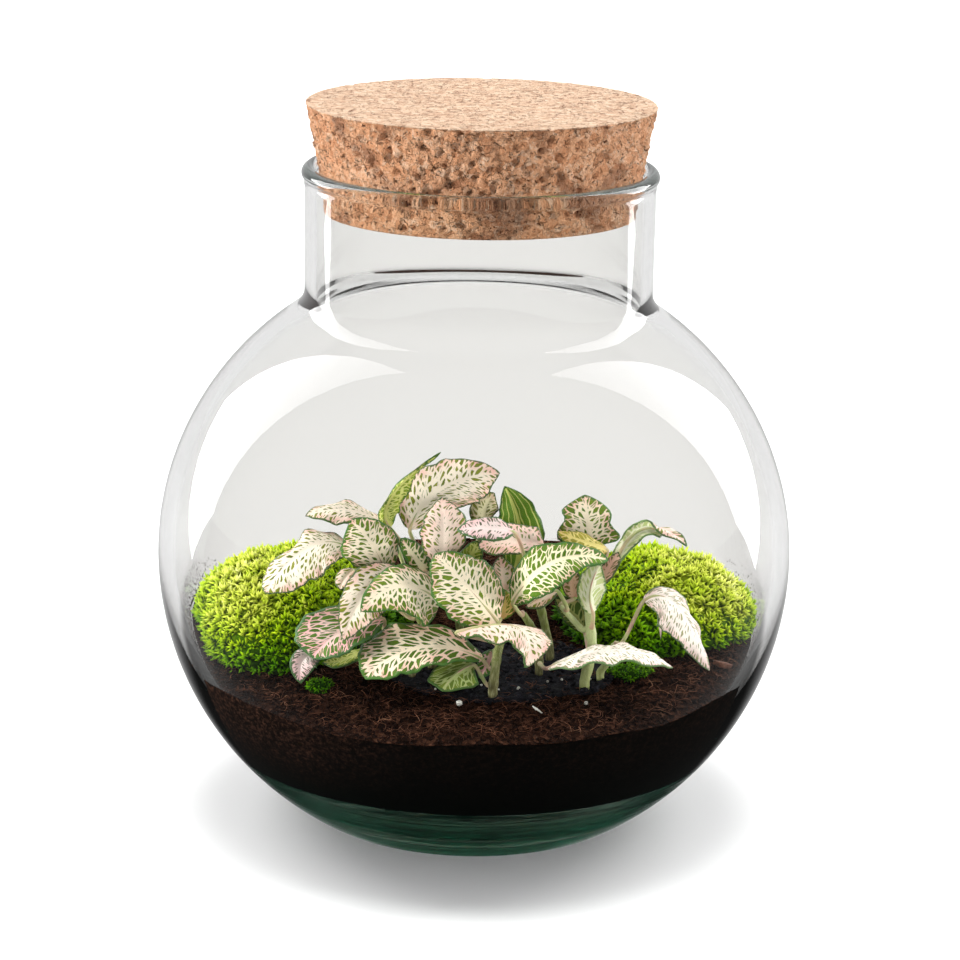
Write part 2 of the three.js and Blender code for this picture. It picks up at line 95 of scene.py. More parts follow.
def turned(profile, steps):
    """A profile of (radius, height) spun about the Z axis."""
    shape = bmesh.new()
    corners = [shape.verts.new((radius, 0, height)) for radius, height in profile]
    edges = [shape.edges.new(pair) for pair in zip(corners, corners[1:])]
    bmesh.ops.spin(
        shape, geom=corners + edges, cent=(0, 0, 0), axis=(0, 0, 1),
        angle=2 * pi, steps=steps, use_merge=True,
    )
    bmesh.ops.remove_doubles(shape, verts=shape.verts, dist=1e-4)
    bmesh.ops.recalc_face_normals(shape, faces=shape.faces)
    return shape


def sweep(shape, path, radii, sides, slot=0):
    """A tube along a path with a radius at each point, closed at both ends."""
    made = bmesh.ops.create_circle(shape, cap_ends=False, segments=sides, radius=1)
    ring = made["verts"]
    first_ring = ring_edges = list({edge for vert in ring for edge in vert.link_edges})
    tube_faces = []
    placed_at = Matrix.Identity(4)
    side = None
    for i, point in enumerate(path):
        ahead = path[min(i + 1, len(path) - 1)]
        behind = path[max(i - 1, 0)]
        along = (ahead - behind).normalized()
        if side is None:
            side = along.orthogonal().normalized()
        side = (side - along * side.dot(along)).normalized()
        axes = Matrix((side * radii[i], along.cross(side) * radii[i], along)).transposed()
        place = Matrix.Translation(point) @ axes.to_4x4()
        if i:
            grown = bmesh.ops.extrude_edge_only(shape, edges=ring_edges)["geom"]
            ring = [part for part in grown if isinstance(part, bmesh.types.BMVert)]
            tube_faces += [part for part in grown if isinstance(part, bmesh.types.BMFace)]
            on_ring = set(ring)
            ring_edges = [
                part for part in grown
                if isinstance(part, bmesh.types.BMEdge) and set(part.verts) <= on_ring
            ]
        bmesh.ops.transform(shape, matrix=place @ placed_at.inverted(), verts=ring)
        placed_at = place
    for loop in (first_ring, ring_edges):
        tube_faces += bmesh.ops.contextual_create(shape, geom=loop)["faces"]
    bmesh.ops.recalc_face_normals(shape, faces=tube_faces)
    for face in tube_faces:
        face.material_index = slot


def scatter(cloud, grain, places):
    """Adds a copy of a small mesh at each place, a 4 by 4 matrix."""
    corners = np.empty(len(grain.vertices) * 3, dtype=np.float32)
    grain.vertices.foreach_get("co", corners)
    for place in places:
        grain.transform(place)
        cloud.from_mesh(grain)
        grain.vertices.foreach_set("co", corners)


def crumb(seed, roughness=0.35):
    """A small uneven lump of about one unit across."""
    shape = bmesh.new()
    bmesh.ops.create_icosphere(shape, subdivisions=1, radius=0.5)
    dice = random.Random(seed)
    for vert in shape.verts:
        vert.co *= 1 + roughness * (2 * dice.random() - 1)
    return as_mesh(shape, "crumb")


def placed(point, normal, turn, size, flat=1.0):
    """Where a scattered grain goes: its point, its own up, its turn and its size."""
    lean = UP.rotation_difference(normal) @ Quaternion(UP, turn)
    stretch = Matrix.Diagonal((size, size, size * flat, 1))
    return Matrix.Translation(point) @ lean.to_matrix().to_4x4() @ stretch


def smooth_step(low, high, value):
    t = min(1, max(0, (value - low) / (high - low)))
    return t * t * (3 - 2 * t)


def ripple(point, size, seed=0):
    """Smooth noise of about -1 to 1 with features of a given size in millimetres."""
    return noise.noise(Vector(point) / size + Vector((seed * 7.3, seed * 3.1, seed * 5.7)))


# ------------------------------------------------------------------ materials
class Value:
    """What a node gives out. It takes + - * / and abs() as a number does."""

    def __init__(self, finish, socket):
        self.finish, self.socket = finish, socket

    def __add__(self, other):
        return self.finish.math("ADD", self, other)

    def __radd__(self, other):
        return self.finish.math("ADD", other, self)

    def __sub__(self, other):
        return self.finish.math("SUBTRACT", self, other)

    def __rsub__(self, other):
        return self.finish.math("SUBTRACT", other, self)

    def __mul__(self, other):
        return self.finish.math("MULTIPLY", self, other)

    def __rmul__(self, other):
        return self.finish.math("MULTIPLY", other, self)

    def __truediv__(self, other):
        return self.finish.math("DIVIDE", self, other)

    def __abs__(self):
        return self.finish.math("ABSOLUTE", self)


Parts = namedtuple("Parts", "x y z")


class Finish:
    """Short words for the node tree of one material."""

    def __init__(self, name):
        self.material = bpy.data.materials.new(name)
        self.material.use_nodes = True
        self.tree = self.material.node_tree
        self.tree.nodes.clear()
        self.output = self.add("OutputMaterial")

    def add(self, kind, inputs=None, **settings):
        node = self.tree.nodes.new("ShaderNode" + kind)
        for key, value in settings.items():
            setattr(node, key, value)
        for key, value in (inputs or {}).items():
            self.feed(node.inputs[key], value)
        return node

    def value(self, kind, inputs, output=0, **settings):
        return Value(self, self.add(kind, inputs, **settings).outputs[output])

    def feed(self, socket, value):
        value = getattr(value, "socket", value)
        if isinstance(value, bpy.types.NodeSocket):
            self.tree.links.new(value, socket)
        else:
            socket.default_value = value

    def math(self, operation, *values):
        return self.value("Math", dict(enumerate(values)), operation=operation)

    def vector(self, operation, first, second):
        return self.value("VectorMath", {0: first, 1: second}, operation=operation)

    def scaled(self, where, factor):
        return self.value("VectorMath", {0: where, "Scale": factor}, operation="SCALE")

    def join(self, x, y, z=0.0):
        return self.value("CombineXYZ", {0: x, 1: y, 2: z})

    def split(self, value):
        """The three parts of a vector or colour."""
        parts = self.add("SeparateXYZ", {0: value}).outputs
        return Parts(*(Value(self, part) for part in parts))

    def mix(self, share, first, second):
        return self.value("Mix", {0: share, 6: first, 7: second}, 2, data_type="RGBA")

    def step(self, value, low, high, start=0.0, end=1.0):
        """Smooth change from start to end as value goes from low to high."""
        inputs = {"Value": value, "From Min": low, "From Max": high, "To Min": start, "To Max": end}
        return self.value("MapRange", inputs, interpolation_type="SMOOTHSTEP")

    def ramp(self, value, stops):
        node = self.add("ValToRGB", {0: value})
        elements = node.color_ramp.elements
        for element, (place, colour) in zip((elements[0], elements[-1]), (stops[0], stops[-1])):
            element.position = place
            element.color = colour
        for place, colour in stops[1:-1]:
            elements.new(place).color = colour
        return Value(self, node.outputs[0])

    def noise(self, where, scale, detail=2.0, roughness=0.5, warp=0.0):
        return self.value("TexNoise", {"Vector": where, "Scale": scale, "Detail": detail,
                                       "Roughness": roughness, "Distortion": warp})

    def cells(self, where, scale, feature="F1"):
        """A pattern of random cells, as its node."""
        return self.add("TexVoronoi", {"Vector": where, "Scale": scale}, feature=feature)

    def millimetres(self):
        """Object coordinates in millimetres."""
        return self.scaled(self.add("TexCoord").outputs["Object"], 1 / MM)

    def uv(self, name):
        return self.add("UVMap", uv_map=name).outputs[0]

    def value_of(self, name):
        return self.value("Attribute", {}, "Fac", attribute_name=name, attribute_type="GEOMETRY")

    def bump(self, height, distance, strength=1.0):
        return self.value("Bump", {"Height": height, "Distance": distance, "Strength": strength})

    def show(self, shader):
        self.feed(self.output.inputs["Surface"], shader.outputs[0])

    def surface(self, **inputs):
        """Ends the tree with one Principled shader."""
        words = {key.replace("_", " "): value for key, value in inputs.items()}
        self.show(self.add("BsdfPrincipled", words))


def tone(red, green, blue):
    """A colour given as it looks on screen, from 0 to 255."""
    def linear(value):
        share = value / 255
        return share / 12.92 if share <= 0.04045 else ((share + 0.055) / 1.055) ** 2.4
    return (linear(red), linear(green), linear(blue), 1)


# --------------------------------------------------------- camera, floor, light
CAMERA_PLACE = (1.5, -850.4, 353.0)
CAMERA_PITCH = 0.2818            # looking down
CAMERA_ROLL = 0.0186
CAMERA_LENS = 104.96             # on a 36 mm wide sensor


def set_camera():
    data = bpy.data.cameras.new("view")
    data.sensor_width = 36
    data.lens = CAMERA_LENS
    data.clip_start = 0.05
    data.clip_end = 50
    forward = Vector((0, cos(CAMERA_PITCH), -sin(CAMERA_PITCH)))
    up = Vector((0, sin(CAMERA_PITCH), cos(CAMERA_PITCH)))
    right = Vector((1, 0, 0))
    across = right * cos(CAMERA_ROLL) + up * sin(CAMERA_ROLL)
    upward = up * cos(CAMERA_ROLL) - right * sin(CAMERA_ROLL)
    turn = Matrix((across, upward, -forward)).transposed()
    camera = bpy.data.objects.new("view", data)
    camera.matrix_world = Matrix.Translation(Vector(CAMERA_PLACE) * MM) @ turn.to_4x4()
    scene.collection.objects.link(camera)
    scene.camera = camera


DOME = 1.0                       # brightness of the soft light above and behind
MIRRORED = 0.78                  # brightness of what the glass mirrors
THROUGH_GLASS = 0.84             # brightness of the room seen through the glass
# The paper as the camera sees it, and a copy painted darker as painted shade for every other ray.
PAPER, PAPER_PAINTED_DARKER = (0.95, 0.95, 0.95, 1), (0.452, 0.447, 0.44, 1)
PANEL_GLOW = 10
PANEL = ((-0.15, -0.15), (0.174, -0.557), (0.238, 0.964), (0.31, -0.3))
BOUNCES = 64                     # the light passes many walls of glass

# Soft lamps: the way they stand, their strength and their width in degrees.
SUNS = {
    "overhead": ((0.0, 0.1, 1), 1.3, 22),
    "back_left": ((-1, 0.6, 1.5), 1.4, 30),
    "back_right": ((1, 0.6, 1.5), 1.3, 30),
    "left_key": ((-1, -0.2, 0.04), 5.2, 12),
    "right_fill": ((1, -0.2, 0.055), 2.6, 12),
    "front_fill": ((0.1, -1, 0.1), 0.5, 12),
}


def add_sun(name, place, power, spread):
    """A very soft lamp for the surfaces only; the glass doesn't mirror it."""
    data = bpy.data.lights.new(name, "SUN")
    data.energy = power
    data.angle = radians(spread)
    lamp = bpy.data.objects.new(name, data)
    lamp.rotation_euler = Vector(place).to_track_quat("Z", "Y").to_euler()
    lamp.visible_glossy = False
    lamp.visible_transmission = False
    scene.collection.objects.link(lamp)


def add_sheet(name, corners, finish):
    """A flat sheet of four corners in metres that belongs to the studio only."""
    shape = bmesh.new()
    bmesh.ops.create_grid(shape, x_segments=1, y_segments=1, size=1)
    for vert, corner in zip(shape.verts, corners):
        vert.co = corner
    mesh = as_mesh(shape, name)
    mesh.materials.append(finish.material)
    sheet = bpy.data.objects.new(name, mesh)
    scene.collection.objects.link(sheet)
    sheet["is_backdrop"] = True
    return sheet


def add_panel(name, corners, strength):
    """A lit panel that shows only as a reflection in the glass. Corners in metres."""
    glow = Finish(name)
    glow.show(glow.add("Emission", {"Strength": strength}))
    panel = add_sheet(name, corners, glow)
    panel.visible_camera = panel.visible_diffuse = panel.visible_transmission = False
    panel.visible_shadow = False


def on_panel_plane(side, across, up):
    """A point on the plane of the tall panel of one side, -1 left or 1 right."""
    middle = Vector((-0.62, 0.42, 0.42))
    facing = Vector((-0.62, 0.42, 0.33)).normalized()
    level = UP.cross(facing).normalized()
    spot = middle + level * across + facing.cross(level) * up
    return (-side * spot.x, spot.y, spot.z)


def set_world():
    """Soft light all round. The front of the glass mirrors it only above the table."""
    world = bpy.data.worlds.new("studio")
    scene.world = world
    world.use_nodes = True
    nodes, links = world.node_tree.nodes, world.node_tree.links
    path = nodes.new("ShaderNodeLightPath").outputs
    way = nodes.new("ShaderNodeSeparateXYZ")
    links.new(nodes.new("ShaderNodeTexCoord").outputs["Generated"], way.inputs[0])

    def choose(share, off, on):
        node = nodes.new("ShaderNodeMix")
        for socket, value in ((0, share), (2, off), (3, on)):
            if isinstance(value, float):
                node.inputs[socket].default_value = value
            else:
                links.new(value, node.inputs[socket])
        return node.outputs[0]

    def rise(tilt, low, high, start, end):
        """A smooth rise over the height of the direction, tilted to the back."""
        above = nodes.new("ShaderNodeMath")
        above.operation = "MULTIPLY_ADD"
        links.new(way.outputs["Y"], above.inputs[0])
        above.inputs[1].default_value = tilt
        links.new(way.outputs["Z"], above.inputs[2])
        step = nodes.new("ShaderNodeMapRange")
        step.interpolation_type = "SMOOTHSTEP"
        for i, value in enumerate((low, high, start, end), 1):
            step.inputs[i].default_value = value
        links.new(above.outputs[0], step.inputs["Value"])
        return step.outputs[0]

    mirrored = rise(0.6, -0.08, 0.28, 0.02, MIRRORED)
    later = nodes.new("ShaderNodeMath")
    later.operation = "GREATER_THAN"
    later.inputs[1].default_value = 0.5
    links.new(path["Transmission Depth"], later.inputs[0])
    glossy = choose(later.outputs[0], mirrored, MIRRORED)
    level = choose(path["Is Glossy Ray"], rise(0.55, -0.1, 1.0, 0.08, DOME), glossy)
    level = choose(path["Is Transmission Ray"], level, THROUGH_GLASS)
    level = choose(path["Is Camera Ray"], level, 1.0)
    links.new(level, nodes["Background"].inputs["Strength"])
    nodes["Background"].inputs["Color"].default_value = (1, 1, 1, 1)


def make_floor():
    """White paper for the camera. Every other ray sees it painted darker, a painted shade, and seen
    mirrored in the glass, the paper beside and before the jar gets a painted shadow.
    """
    paper = Finish("floor_paper")
    path = paper.add("LightPath").outputs
    # Painted shadow: seen by way of the inner wall, the paper beside and before the jar is painted
    # dark.
    place = paper.split(paper.millimetres())
    beyond = place.y - abs(place.x) * 0.45
    painted_shadow = paper.step(beyond, -5.0, 20.0, 0.06, 0.42)
    painted_shadow_colour = paper.join(painted_shadow, painted_shadow, painted_shadow)
    echo = paper.math("GREATER_THAN", path["Glossy Depth"], 0.5)
    shade = paper.mix(path["Is Camera Ray"], paper.mix(echo, PAPER_PAINTED_DARKER, painted_shadow_colour), PAPER)
    paper.surface(Base_Color=shade, Roughness=0.9)
    reach = 6
    corners = [(x, y, 0) for y in (-reach, reach) for x in (-reach, reach)]
    add_sheet("floor", corners, paper).visible_glossy = False


def set_studio():
    set_world()
    make_floor()
    for name, sun in SUNS.items():
        add_sun(name, *sun)
    for side, name in ((-1, "left"), (1, "right")):
        add_panel(name + "_panel", [on_panel_plane(side, *spot) for spot in PANEL], PANEL_GLOW)

    scene.view_settings.view_transform = "Standard"
    scene.view_settings.look = "None"
    scene.cycles.caustics_reflective = False
    scene.cycles.caustics_refractive = False
    scene.cycles.use_denoising = True
    scene.cycles.max_bounces = BOUNCES
    scene.cycles.glossy_bounces = BOUNCES
    scene.cycles.transmission_bounces = BOUNCES
    scene.cycles.transparent_max_bounces = 24


# ------------------------------------------------------------------ glass jar
BOWL_RADIUS, BOWL_CENTRE, BOWL_RISE, BOWL_DROP = 100, 84, 95.5, 98
WALL, SHOULDER_WALL, FOOT_THICKNESS, FOOT_EDGE, INNER_DROP = 5, 4.5, 12, 2, 87
NECK_RADIUS, NECK_WALL, NECK_FOOT, NECK_FLARE = 54, 3.6, 167, 1.5
LIP_RADIUS, LIP_TOP, LIP_BEAD = 55, 207, 2.2
GAP = 0.3


def bowl_curve(radius, rise, low, high, count):
    """Points on a quarter ellipse about the bowl's centre, between two heights."""
    start = asin((low - BOWL_CENTRE) / rise)
    end = asin((high - BOWL_CENTRE) / rise)
    angles = [start + (end - start) * i / (count - 1) for i in range(count)]
    return [(radius * cos(angle), BOWL_CENTRE + rise * sin(angle)) for angle in angles]


def rounded(corners, reach, count):
    """A path of (radius, height) with its sharp middle corner drawn as a curve."""
    before, corner, after = (Vector(point) for point in corners)
    start = corner + (before - corner).normalized() * reach
    end = corner + (after - corner).normalized() * reach
    curve = []
    for i in range(count):
        t = i / (count - 1)
        point = start * (1 - t) ** 2 + corner * 2 * t * (1 - t) + end * t * t
        curve.append((point.x, point.y))
    return curve


def jar_profile():
    inside = NECK_RADIUS - NECK_WALL
    shoulder_rise = BOWL_RISE - SHOULDER_WALL

    def height_at(radius, wide, rise):
        return BOWL_CENTRE + rise * sqrt(1 - (radius / wide) ** 2)

    outer_neck = height_at(NECK_RADIUS + 2 * NECK_FLARE, BOWL_RADIUS, BOWL_RISE)
    inner_neck = height_at(inside + 2 * NECK_FLARE, BOWL_RADIUS - WALL, shoulder_rise)
    outer = bowl_curve(BOWL_RADIUS, BOWL_RISE, BOWL_CENTRE, outer_neck, 26)
    inner = bowl_curve(BOWL_RADIUS - WALL, shoulder_rise, inner_neck, BOWL_CENTRE, 26)
    foot_radius = BOWL_RADIUS * sqrt(1 - (BOWL_CENTRE / BOWL_DROP) ** 2)
    middle, half = (LIP_RADIUS + inside) / 2, (LIP_RADIUS - inside) / 2
    lip = []
    for i in range(19):
        angle = -pi / 2 + 1.5 * pi * i / 18
        lip.append((middle + half * cos(angle), LIP_TOP - LIP_BEAD + LIP_BEAD * sin(angle)))
    return [
        (0, 0.9), (foot_radius - 22, 0.7), (foot_radius - 12, 0.15), (foot_radius - 7, 0),
        (foot_radius - 4, 0.1), (foot_radius - 1.4, 0.7),
        *bowl_curve(BOWL_RADIUS, BOWL_DROP, FOOT_EDGE, BOWL_CENTRE, 34),
        *outer[1:],
        *rounded((outer[-1], (NECK_RADIUS, NECK_FOOT - 1), (NECK_RADIUS, NECK_FOOT + 6)), 3, 8),
        (NECK_RADIUS, NECK_FOOT + 4), (NECK_RADIUS, 180), (NECK_RADIUS, 192),
        (NECK_RADIUS, LIP_TOP - 2.9 * LIP_BEAD),
        (NECK_RADIUS + 0.2, LIP_TOP - 2.2 * LIP_BEAD),
        *lip[2:],
        (inside, 192), (inside, 180),
        *rounded(((inside, NECK_FOOT + 6), (inside, NECK_FOOT - 4.4), inner[0]), 3.6, 9),
        *inner,
        *bowl_curve(BOWL_RADIUS - WALL, INNER_DROP, BOWL_CENTRE, FOOT_THICKNESS, 26)[1:],
        (0, FOOT_THICKNESS),
    ]


def glass_finish():
    """Clear glass that turns sea green where the thick base begins, with painted glints streaked
    across the base.
    """
    glass = Finish("jar_glass")
    where = glass.millimetres()
    height = glass.split(where).z
    wavy = glass.noise(where, 0.02, 1.0)
    depth = height + wavy * 6.0
    colour = glass.ramp(glass.step(depth, 3.0, 46.0), [
        (0.0, tone(11, 100, 66)), (0.3, tone(17, 103, 69)), (0.5, tone(56, 126, 96)),
        (0.75, tone(164, 200, 182)), (1.0, tone(250, 250, 249)),
    ])
    rings = glass.noise(glass.vector("MULTIPLY", where, (0.02, 0.02, 1.0)), 0.5, 3.0, 0.6, 0.4)
    low = glass.step(height, 8.0, 30.0, 1.0, 0.0)
    ring_bump = glass.bump(rings * low, 0.0024, 0.9)
    # Painted glints: lighter streaks painted into the colour of the low base along the rings.
    streak = glass.step(rings, 0.5, 0.66) * low
    colour = glass.mix(streak * 0.75, colour, tone(150, 196, 176))
    body = glass.add("BsdfPrincipled", {
        "Base Color": colour, "Roughness": 0.0, "IOR": 1.48, "Transmission Weight": 1.0,
        "Specular Tint": (0.1, 0.1, 0.1, 1), "Normal": ring_bump,
    })
    clear = glass.add("BsdfTransparent", {"Color": (0.965, 0.975, 0.97, 1)})
    path = glass.add("LightPath")
    straight = glass.math("MAXIMUM", path.outputs["Is Shadow Ray"], path.outputs["Is Diffuse Ray"])
    shown = glass.add("MixShader", {0: straight, 1: body.outputs[0], 2: clear.outputs[0]})
    glass.show(shown)
    return glass.material


def make_jar():
    shape = turned(jar_profile(), 160)
    keep(shape, "jar", [glass_finish()], ["glass_jar"])


# --------------------------------------------------------------- cork stopper
CORK_TOP, CORK_HEIGHT, CORK_TOP_RADIUS, CORK_FOOT_RADIUS = 226.5, 33, 53.8, 48.2
CORK_EDGE = 0.8
CORK_ROWS, CORK_STEPS = 52, 440  # fine enough for the torn side


def cork_finish():
    """Agglomerated cork: pale cut faces, and a darker torn side full of pits, which are painted
    dark as painted shade.
    """
    cork = Finish("cork")
    where = cork.millimetres()
    place = cork.split(where)
    bent = cork.vector("ADD", where, cork.scaled(cork.add(
        "TexNoise", {"Vector": where, "Scale": 0.35, "Detail": 2.0}).outputs["Color"], 1.6))
    grains = cork.cells(bent, 0.48)
    seams = cork.cells(bent, 0.48, "DISTANCE_TO_EDGE").outputs["Distance"]
    small = cork.cells(bent, 1.3)
    shade = cork.split(grains.outputs["Color"]).x
    fine = cork.split(small.outputs["Color"]).y
    dust = cork.noise(where, 1.6, 4.0, 0.65)
    tones = shade * 0.45 + fine * 0.25 + dust * 0.3
    top = cork.ramp(tones, [
        (0.0, tone(152, 106, 80)), (0.35, tone(193, 159, 132)), (0.65, tone(207, 179, 153)),
        (1.0, tone(220, 198, 175)),
    ])
    side = cork.ramp(tones, [
        (0.0, tone(186, 120, 82)), (0.3, tone(232, 166, 122)), (0.6, tone(248, 190, 148)),
        (1.0, tone(254, 224, 196)),
    ])
    patch = cork.noise(where, 0.07, 2.0, 0.5)
    side = cork.mix(cork.step(patch, 0.5, 0.7), side, cork.mix(0.55, side, tone(112, 70, 56)))
    flat_top = cork.step(place.z, CORK_TOP - 0.55, CORK_TOP - 0.2)
    colour = cork.mix(flat_top, side, top)
    fleck_place = cork.vector("MULTIPLY", bent, (1.0, 0.7, 0.9))
    flecks = cork.noise(fleck_place, 0.62, 3.0, 0.7, 0.6)
    fleck = cork.step(flecks, 0.585, 0.63)
    seam = cork.step(seams, 0.05, 0.0) * cork.step(cork.noise(where, 0.33, 2.0), 0.48, 0.6)
    dark = cork.math("MAXIMUM", fleck, seam)
    painted = dark * (0.4 + flat_top * 0.35)
    colour = cork.mix(painted, colour, tone(112, 68, 40))
    # Painted shade: the pits on the torn side are painted dark as well as sunk by the bump.
    pits = cork.step(cork.noise(where, 0.7, 4.0, 0.7, 0.5), 0.58, 0.66) * (1.0 - flat_top)
    colour = cork.mix(pits * 0.85, colour, tone(84, 46, 28))
    bright = cork.step(cork.noise(where, 1.1, 2.0, 0.5), 0.66, 0.72)
    colour = cork.mix(bright * 0.5, colour, tone(245, 220, 190))
    height = dust * 0.5 - (pits + dark * 0.5)
    height = height * cork.step(flat_top, 0.0, 1.0, 1.0, 0.3)
    cork.surface(Base_Color=colour, Roughness=0.92, Specular_IOR_Level=0.2,
                 Normal=cork.bump(height, 0.004, 1.0))
    return cork.material


def make_cork():
    foot = CORK_TOP - CORK_HEIGHT
    side = [
        (CORK_FOOT_RADIUS + (CORK_TOP_RADIUS - CORK_FOOT_RADIUS) * i / CORK_ROWS,
         foot + CORK_EDGE + (CORK_HEIGHT - 1.4 * CORK_EDGE) * i / CORK_ROWS)
        for i in range(CORK_ROWS + 1)
    ]
    profile = [
        (0, foot), *[(CORK_FOOT_RADIUS * i / 12, foot) for i in range(1, 12)],
        (CORK_FOOT_RADIUS - CORK_EDGE, foot + 0.05), (CORK_FOOT_RADIUS - 0.25, foot + 0.3),
        *side,
        (CORK_TOP_RADIUS - 0.15, CORK_TOP - 0.12), (CORK_TOP_RADIUS - 0.5, CORK_TOP),
        *[(CORK_TOP_RADIUS * i / 24, CORK_TOP) for i in range(23, 0, -1)], (0, CORK_TOP),
    ]
    shape = turned(profile, CORK_STEPS)
    for vert in shape.verts:
        point = vert.co.copy()
        wide = hypot(point.x, point.y)
        if wide < 1:
            continue
        torn = smooth_step(foot, foot + 1.5, point.z)
        torn *= smooth_step(CORK_TOP, CORK_TOP - 0.6, point.z)
        lumps = 0.6 * ripple(point, 3.2, 1) + 0.8 * ripple(point, 1.5, 2)
        lumps += 0.5 * ripple(point, 0.8, 6)
        pit = smooth_step(0.2, 0.5, ripple(point, 2.4, 3))
        inward = torn * (0.75 - lumps + 1.5 * pit)
        edge = smooth_step(CORK_TOP_RADIUS - 3, CORK_TOP_RADIUS, wide) * (point.z > CORK_TOP - 1)
        chip = smooth_step(0.35, 0.6, ripple(point, 4.2, 4)) * edge
        scale = 1 - max(0, inward) / wide
        drop = 0.06 * (1 + ripple(point, 2.2, 5)) + 0.7 * chip if point.z > foot + 2 else 0
        vert.co = Vector((point.x * scale, point.y * scale, point.z - drop))
    keep(shape, "cork", [cork_finish()], ["cork_stopper"])


# ------------------------------------------------------------- soil and roots
SOIL_LEVEL, SOIL_SLOPE, SOIL_BEND, RIPPLE = 62, 0.1, 10, 0.8
BACK_FALL = 3                    # the soil settles a little behind the plant
SOIL_PRESS = 0.15                # wet soil clings to the wall, with no air between
ROOT_X, ROOT_Y, ROOT_WIDE, ROOT_DEEP, ROOT_RISE = 8, -41, 37, 23, 1
PLUG_DEPTH = 26                  # how far the root ball reaches down
RIM = 88                         # where the soil's level at the wall is read
SIDE_ROWS, TOP_ROWS = 26, 60
CRUMB_KINDS, CRUMBS_EACH = 5, 900
FIBRE_KINDS, FIBRES_EACH = 6, 1150


def soil_height(x, y):
    waves = sin(x / 17 + 0.6) * cos(y / 13) + sin((x + y) / 8) / 2
    fall = BACK_FALL * smooth_step(5, 70, y)
    return SOIL_LEVEL + SOIL_SLOPE * (y - hypot(y, SOIL_BEND)) / 2 + RIPPLE * waves - fall


def inner_radius(height):
    """Radius of the room inside the bowl at a height."""
    rise = BOWL_RISE - SHOULDER_WALL if height > BOWL_CENTRE else INNER_DROP
    return (BOWL_RADIUS - WALL) * sqrt(max(0, 1 - ((height - BOWL_CENTRE) / rise) ** 2))


def soil_edge(height, turn):
    """Radius of the bed's side. It clings to the wall, at left and right only lower down."""
    facing = smooth_step(0.35, 0.6, abs(sin(turn)))
    cling = max(facing, smooth_step(38, 30, height)) * smooth_step(22, 30, height)
    return inner_radius(height) - GAP + (GAP + SOIL_PRESS) * cling


def inside_glass(point, margin=0.4):
    """The point, or the nearest one that is clear of the glass."""
    wide = hypot(point.x, point.y)
    most = inner_radius(point.z) - margin
    if wide <= most:
        return point
    return Vector((point.x * most / wide, point.y * most / wide, point.z))


def soil_finish():
    """Dark planting mix: brown crumbs on top, black where it is pressed to the glass."""
    soil = Finish("soil")
    where = soil.millimetres()
    crumbs = soil.cells(where, 0.9)
    shade = soil.split(crumbs.outputs["Color"]).x
    dust = soil.noise(where, 0.5, 4.0, 0.7)
    tones = shade * 0.5 + dust * 0.5
    colour = soil.ramp(tones, [
        (0.0, tone(10, 5, 4)), (0.4, tone(26, 15, 10)), (0.65, tone(48, 29, 21)),
        (1.0, tone(96, 64, 48)),
    ])
    height = dust + crumbs.outputs["Distance"]
    soil.surface(Base_Color=colour, Roughness=1.0, Specular_IOR_Level=0.0,
                 Normal=soil.bump(height, 0.0012))
    return soil.material


def pressed_soil_finish():
    """Soil seen through the wall of the glass, near black, with painted light that turns it brown
    higher up and towards the left.
    """
    pressed = Finish("soil_at_glass")
    where = pressed.millimetres()
    place = pressed.split(where)
    level = place.z + pressed.noise(where, 0.05) * 16
    # Painted light: brown where the lamps would reach, higher up and towards the left; elsewhere
    # near black.
    left = pressed.step(place.x, -10.0, -70.0)
    grain = pressed.noise(where, 0.8, 4.0, 0.75)
    brown = pressed.step(level, 34.0, 72.0) * (0.15 + left * 0.75)
    lit = pressed.mix(pressed.step(grain, 0.45, 0.72), tone(20, 14, 11), tone(78, 52, 40))
    colour = pressed.mix(brown, pressed.mix(grain, tone(3, 4, 4), tone(10, 10, 9)), lit)
    pressed.surface(Base_Color=colour, Roughness=1.0, Specular_IOR_Level=0.0)
    return pressed.material


def fibre_finish():
    coir = Finish("coir")
    where = coir.millimetres()
    shade = coir.noise(where, 0.12, 3.0, 0.7)
    colour = coir.ramp(shade, [
        (0.3, tone(56, 32, 22)), (0.5, tone(96, 60, 43)), (0.62, tone(132, 90, 68)),
        (0.78, tone(172, 134, 108)),
    ])
    coir.surface(Base_Color=colour, Roughness=0.8, Specular_IOR_Level=0.05)
    return coir.material


def fibre(seed, sides=3):
    """One curved coir fibre about one unit long."""
    dice = random.Random(seed)
    bend, twist, lift = dice.uniform(0.2, 1.0), dice.uniform(-1.2, 1.2), dice.uniform(0.0, 0.16)
    path = []
    for i in range(5):
        t = i / 4 - 0.5
        path.append(Vector((t, bend * (t * t - 0.08) + 0.1 * sin(7 * t + twist),
                            lift * cos(pi * t) + 0.04 * sin(9 * t + bend))))
    shape = bmesh.new()
    sweep(shape, path, [0.005, 0.01, 0.011, 0.009, 0.004], sides)
    return as_mesh(shape, "fibre")


def top_point(dice, reach=0.985):
    """A random point on the soil's top, evenly spread."""
    while True:
        x, y = dice.uniform(-95, 95), dice.uniform(-95, 95)
        height = soil_height(x, y)
        if hypot(x, y) < inner_radius(height) * reach:
            return Vector((x, y, height))


def on_root_ball(x, y, margin=1.0):
    return ((x - ROOT_X) / ROOT_WIDE) ** 2 + ((y - ROOT_Y) / ROOT_DEEP) ** 2 < margin


def soil_relief(x, y):
    """Clods and hollows on the soil's top."""
    here = (x, y, 0)
    return 1.1 * ripple(here, 9, 11) + 0.9 * ripple(here, 3.6, 12) + 0.55 * ripple(here, 1.7, 13)


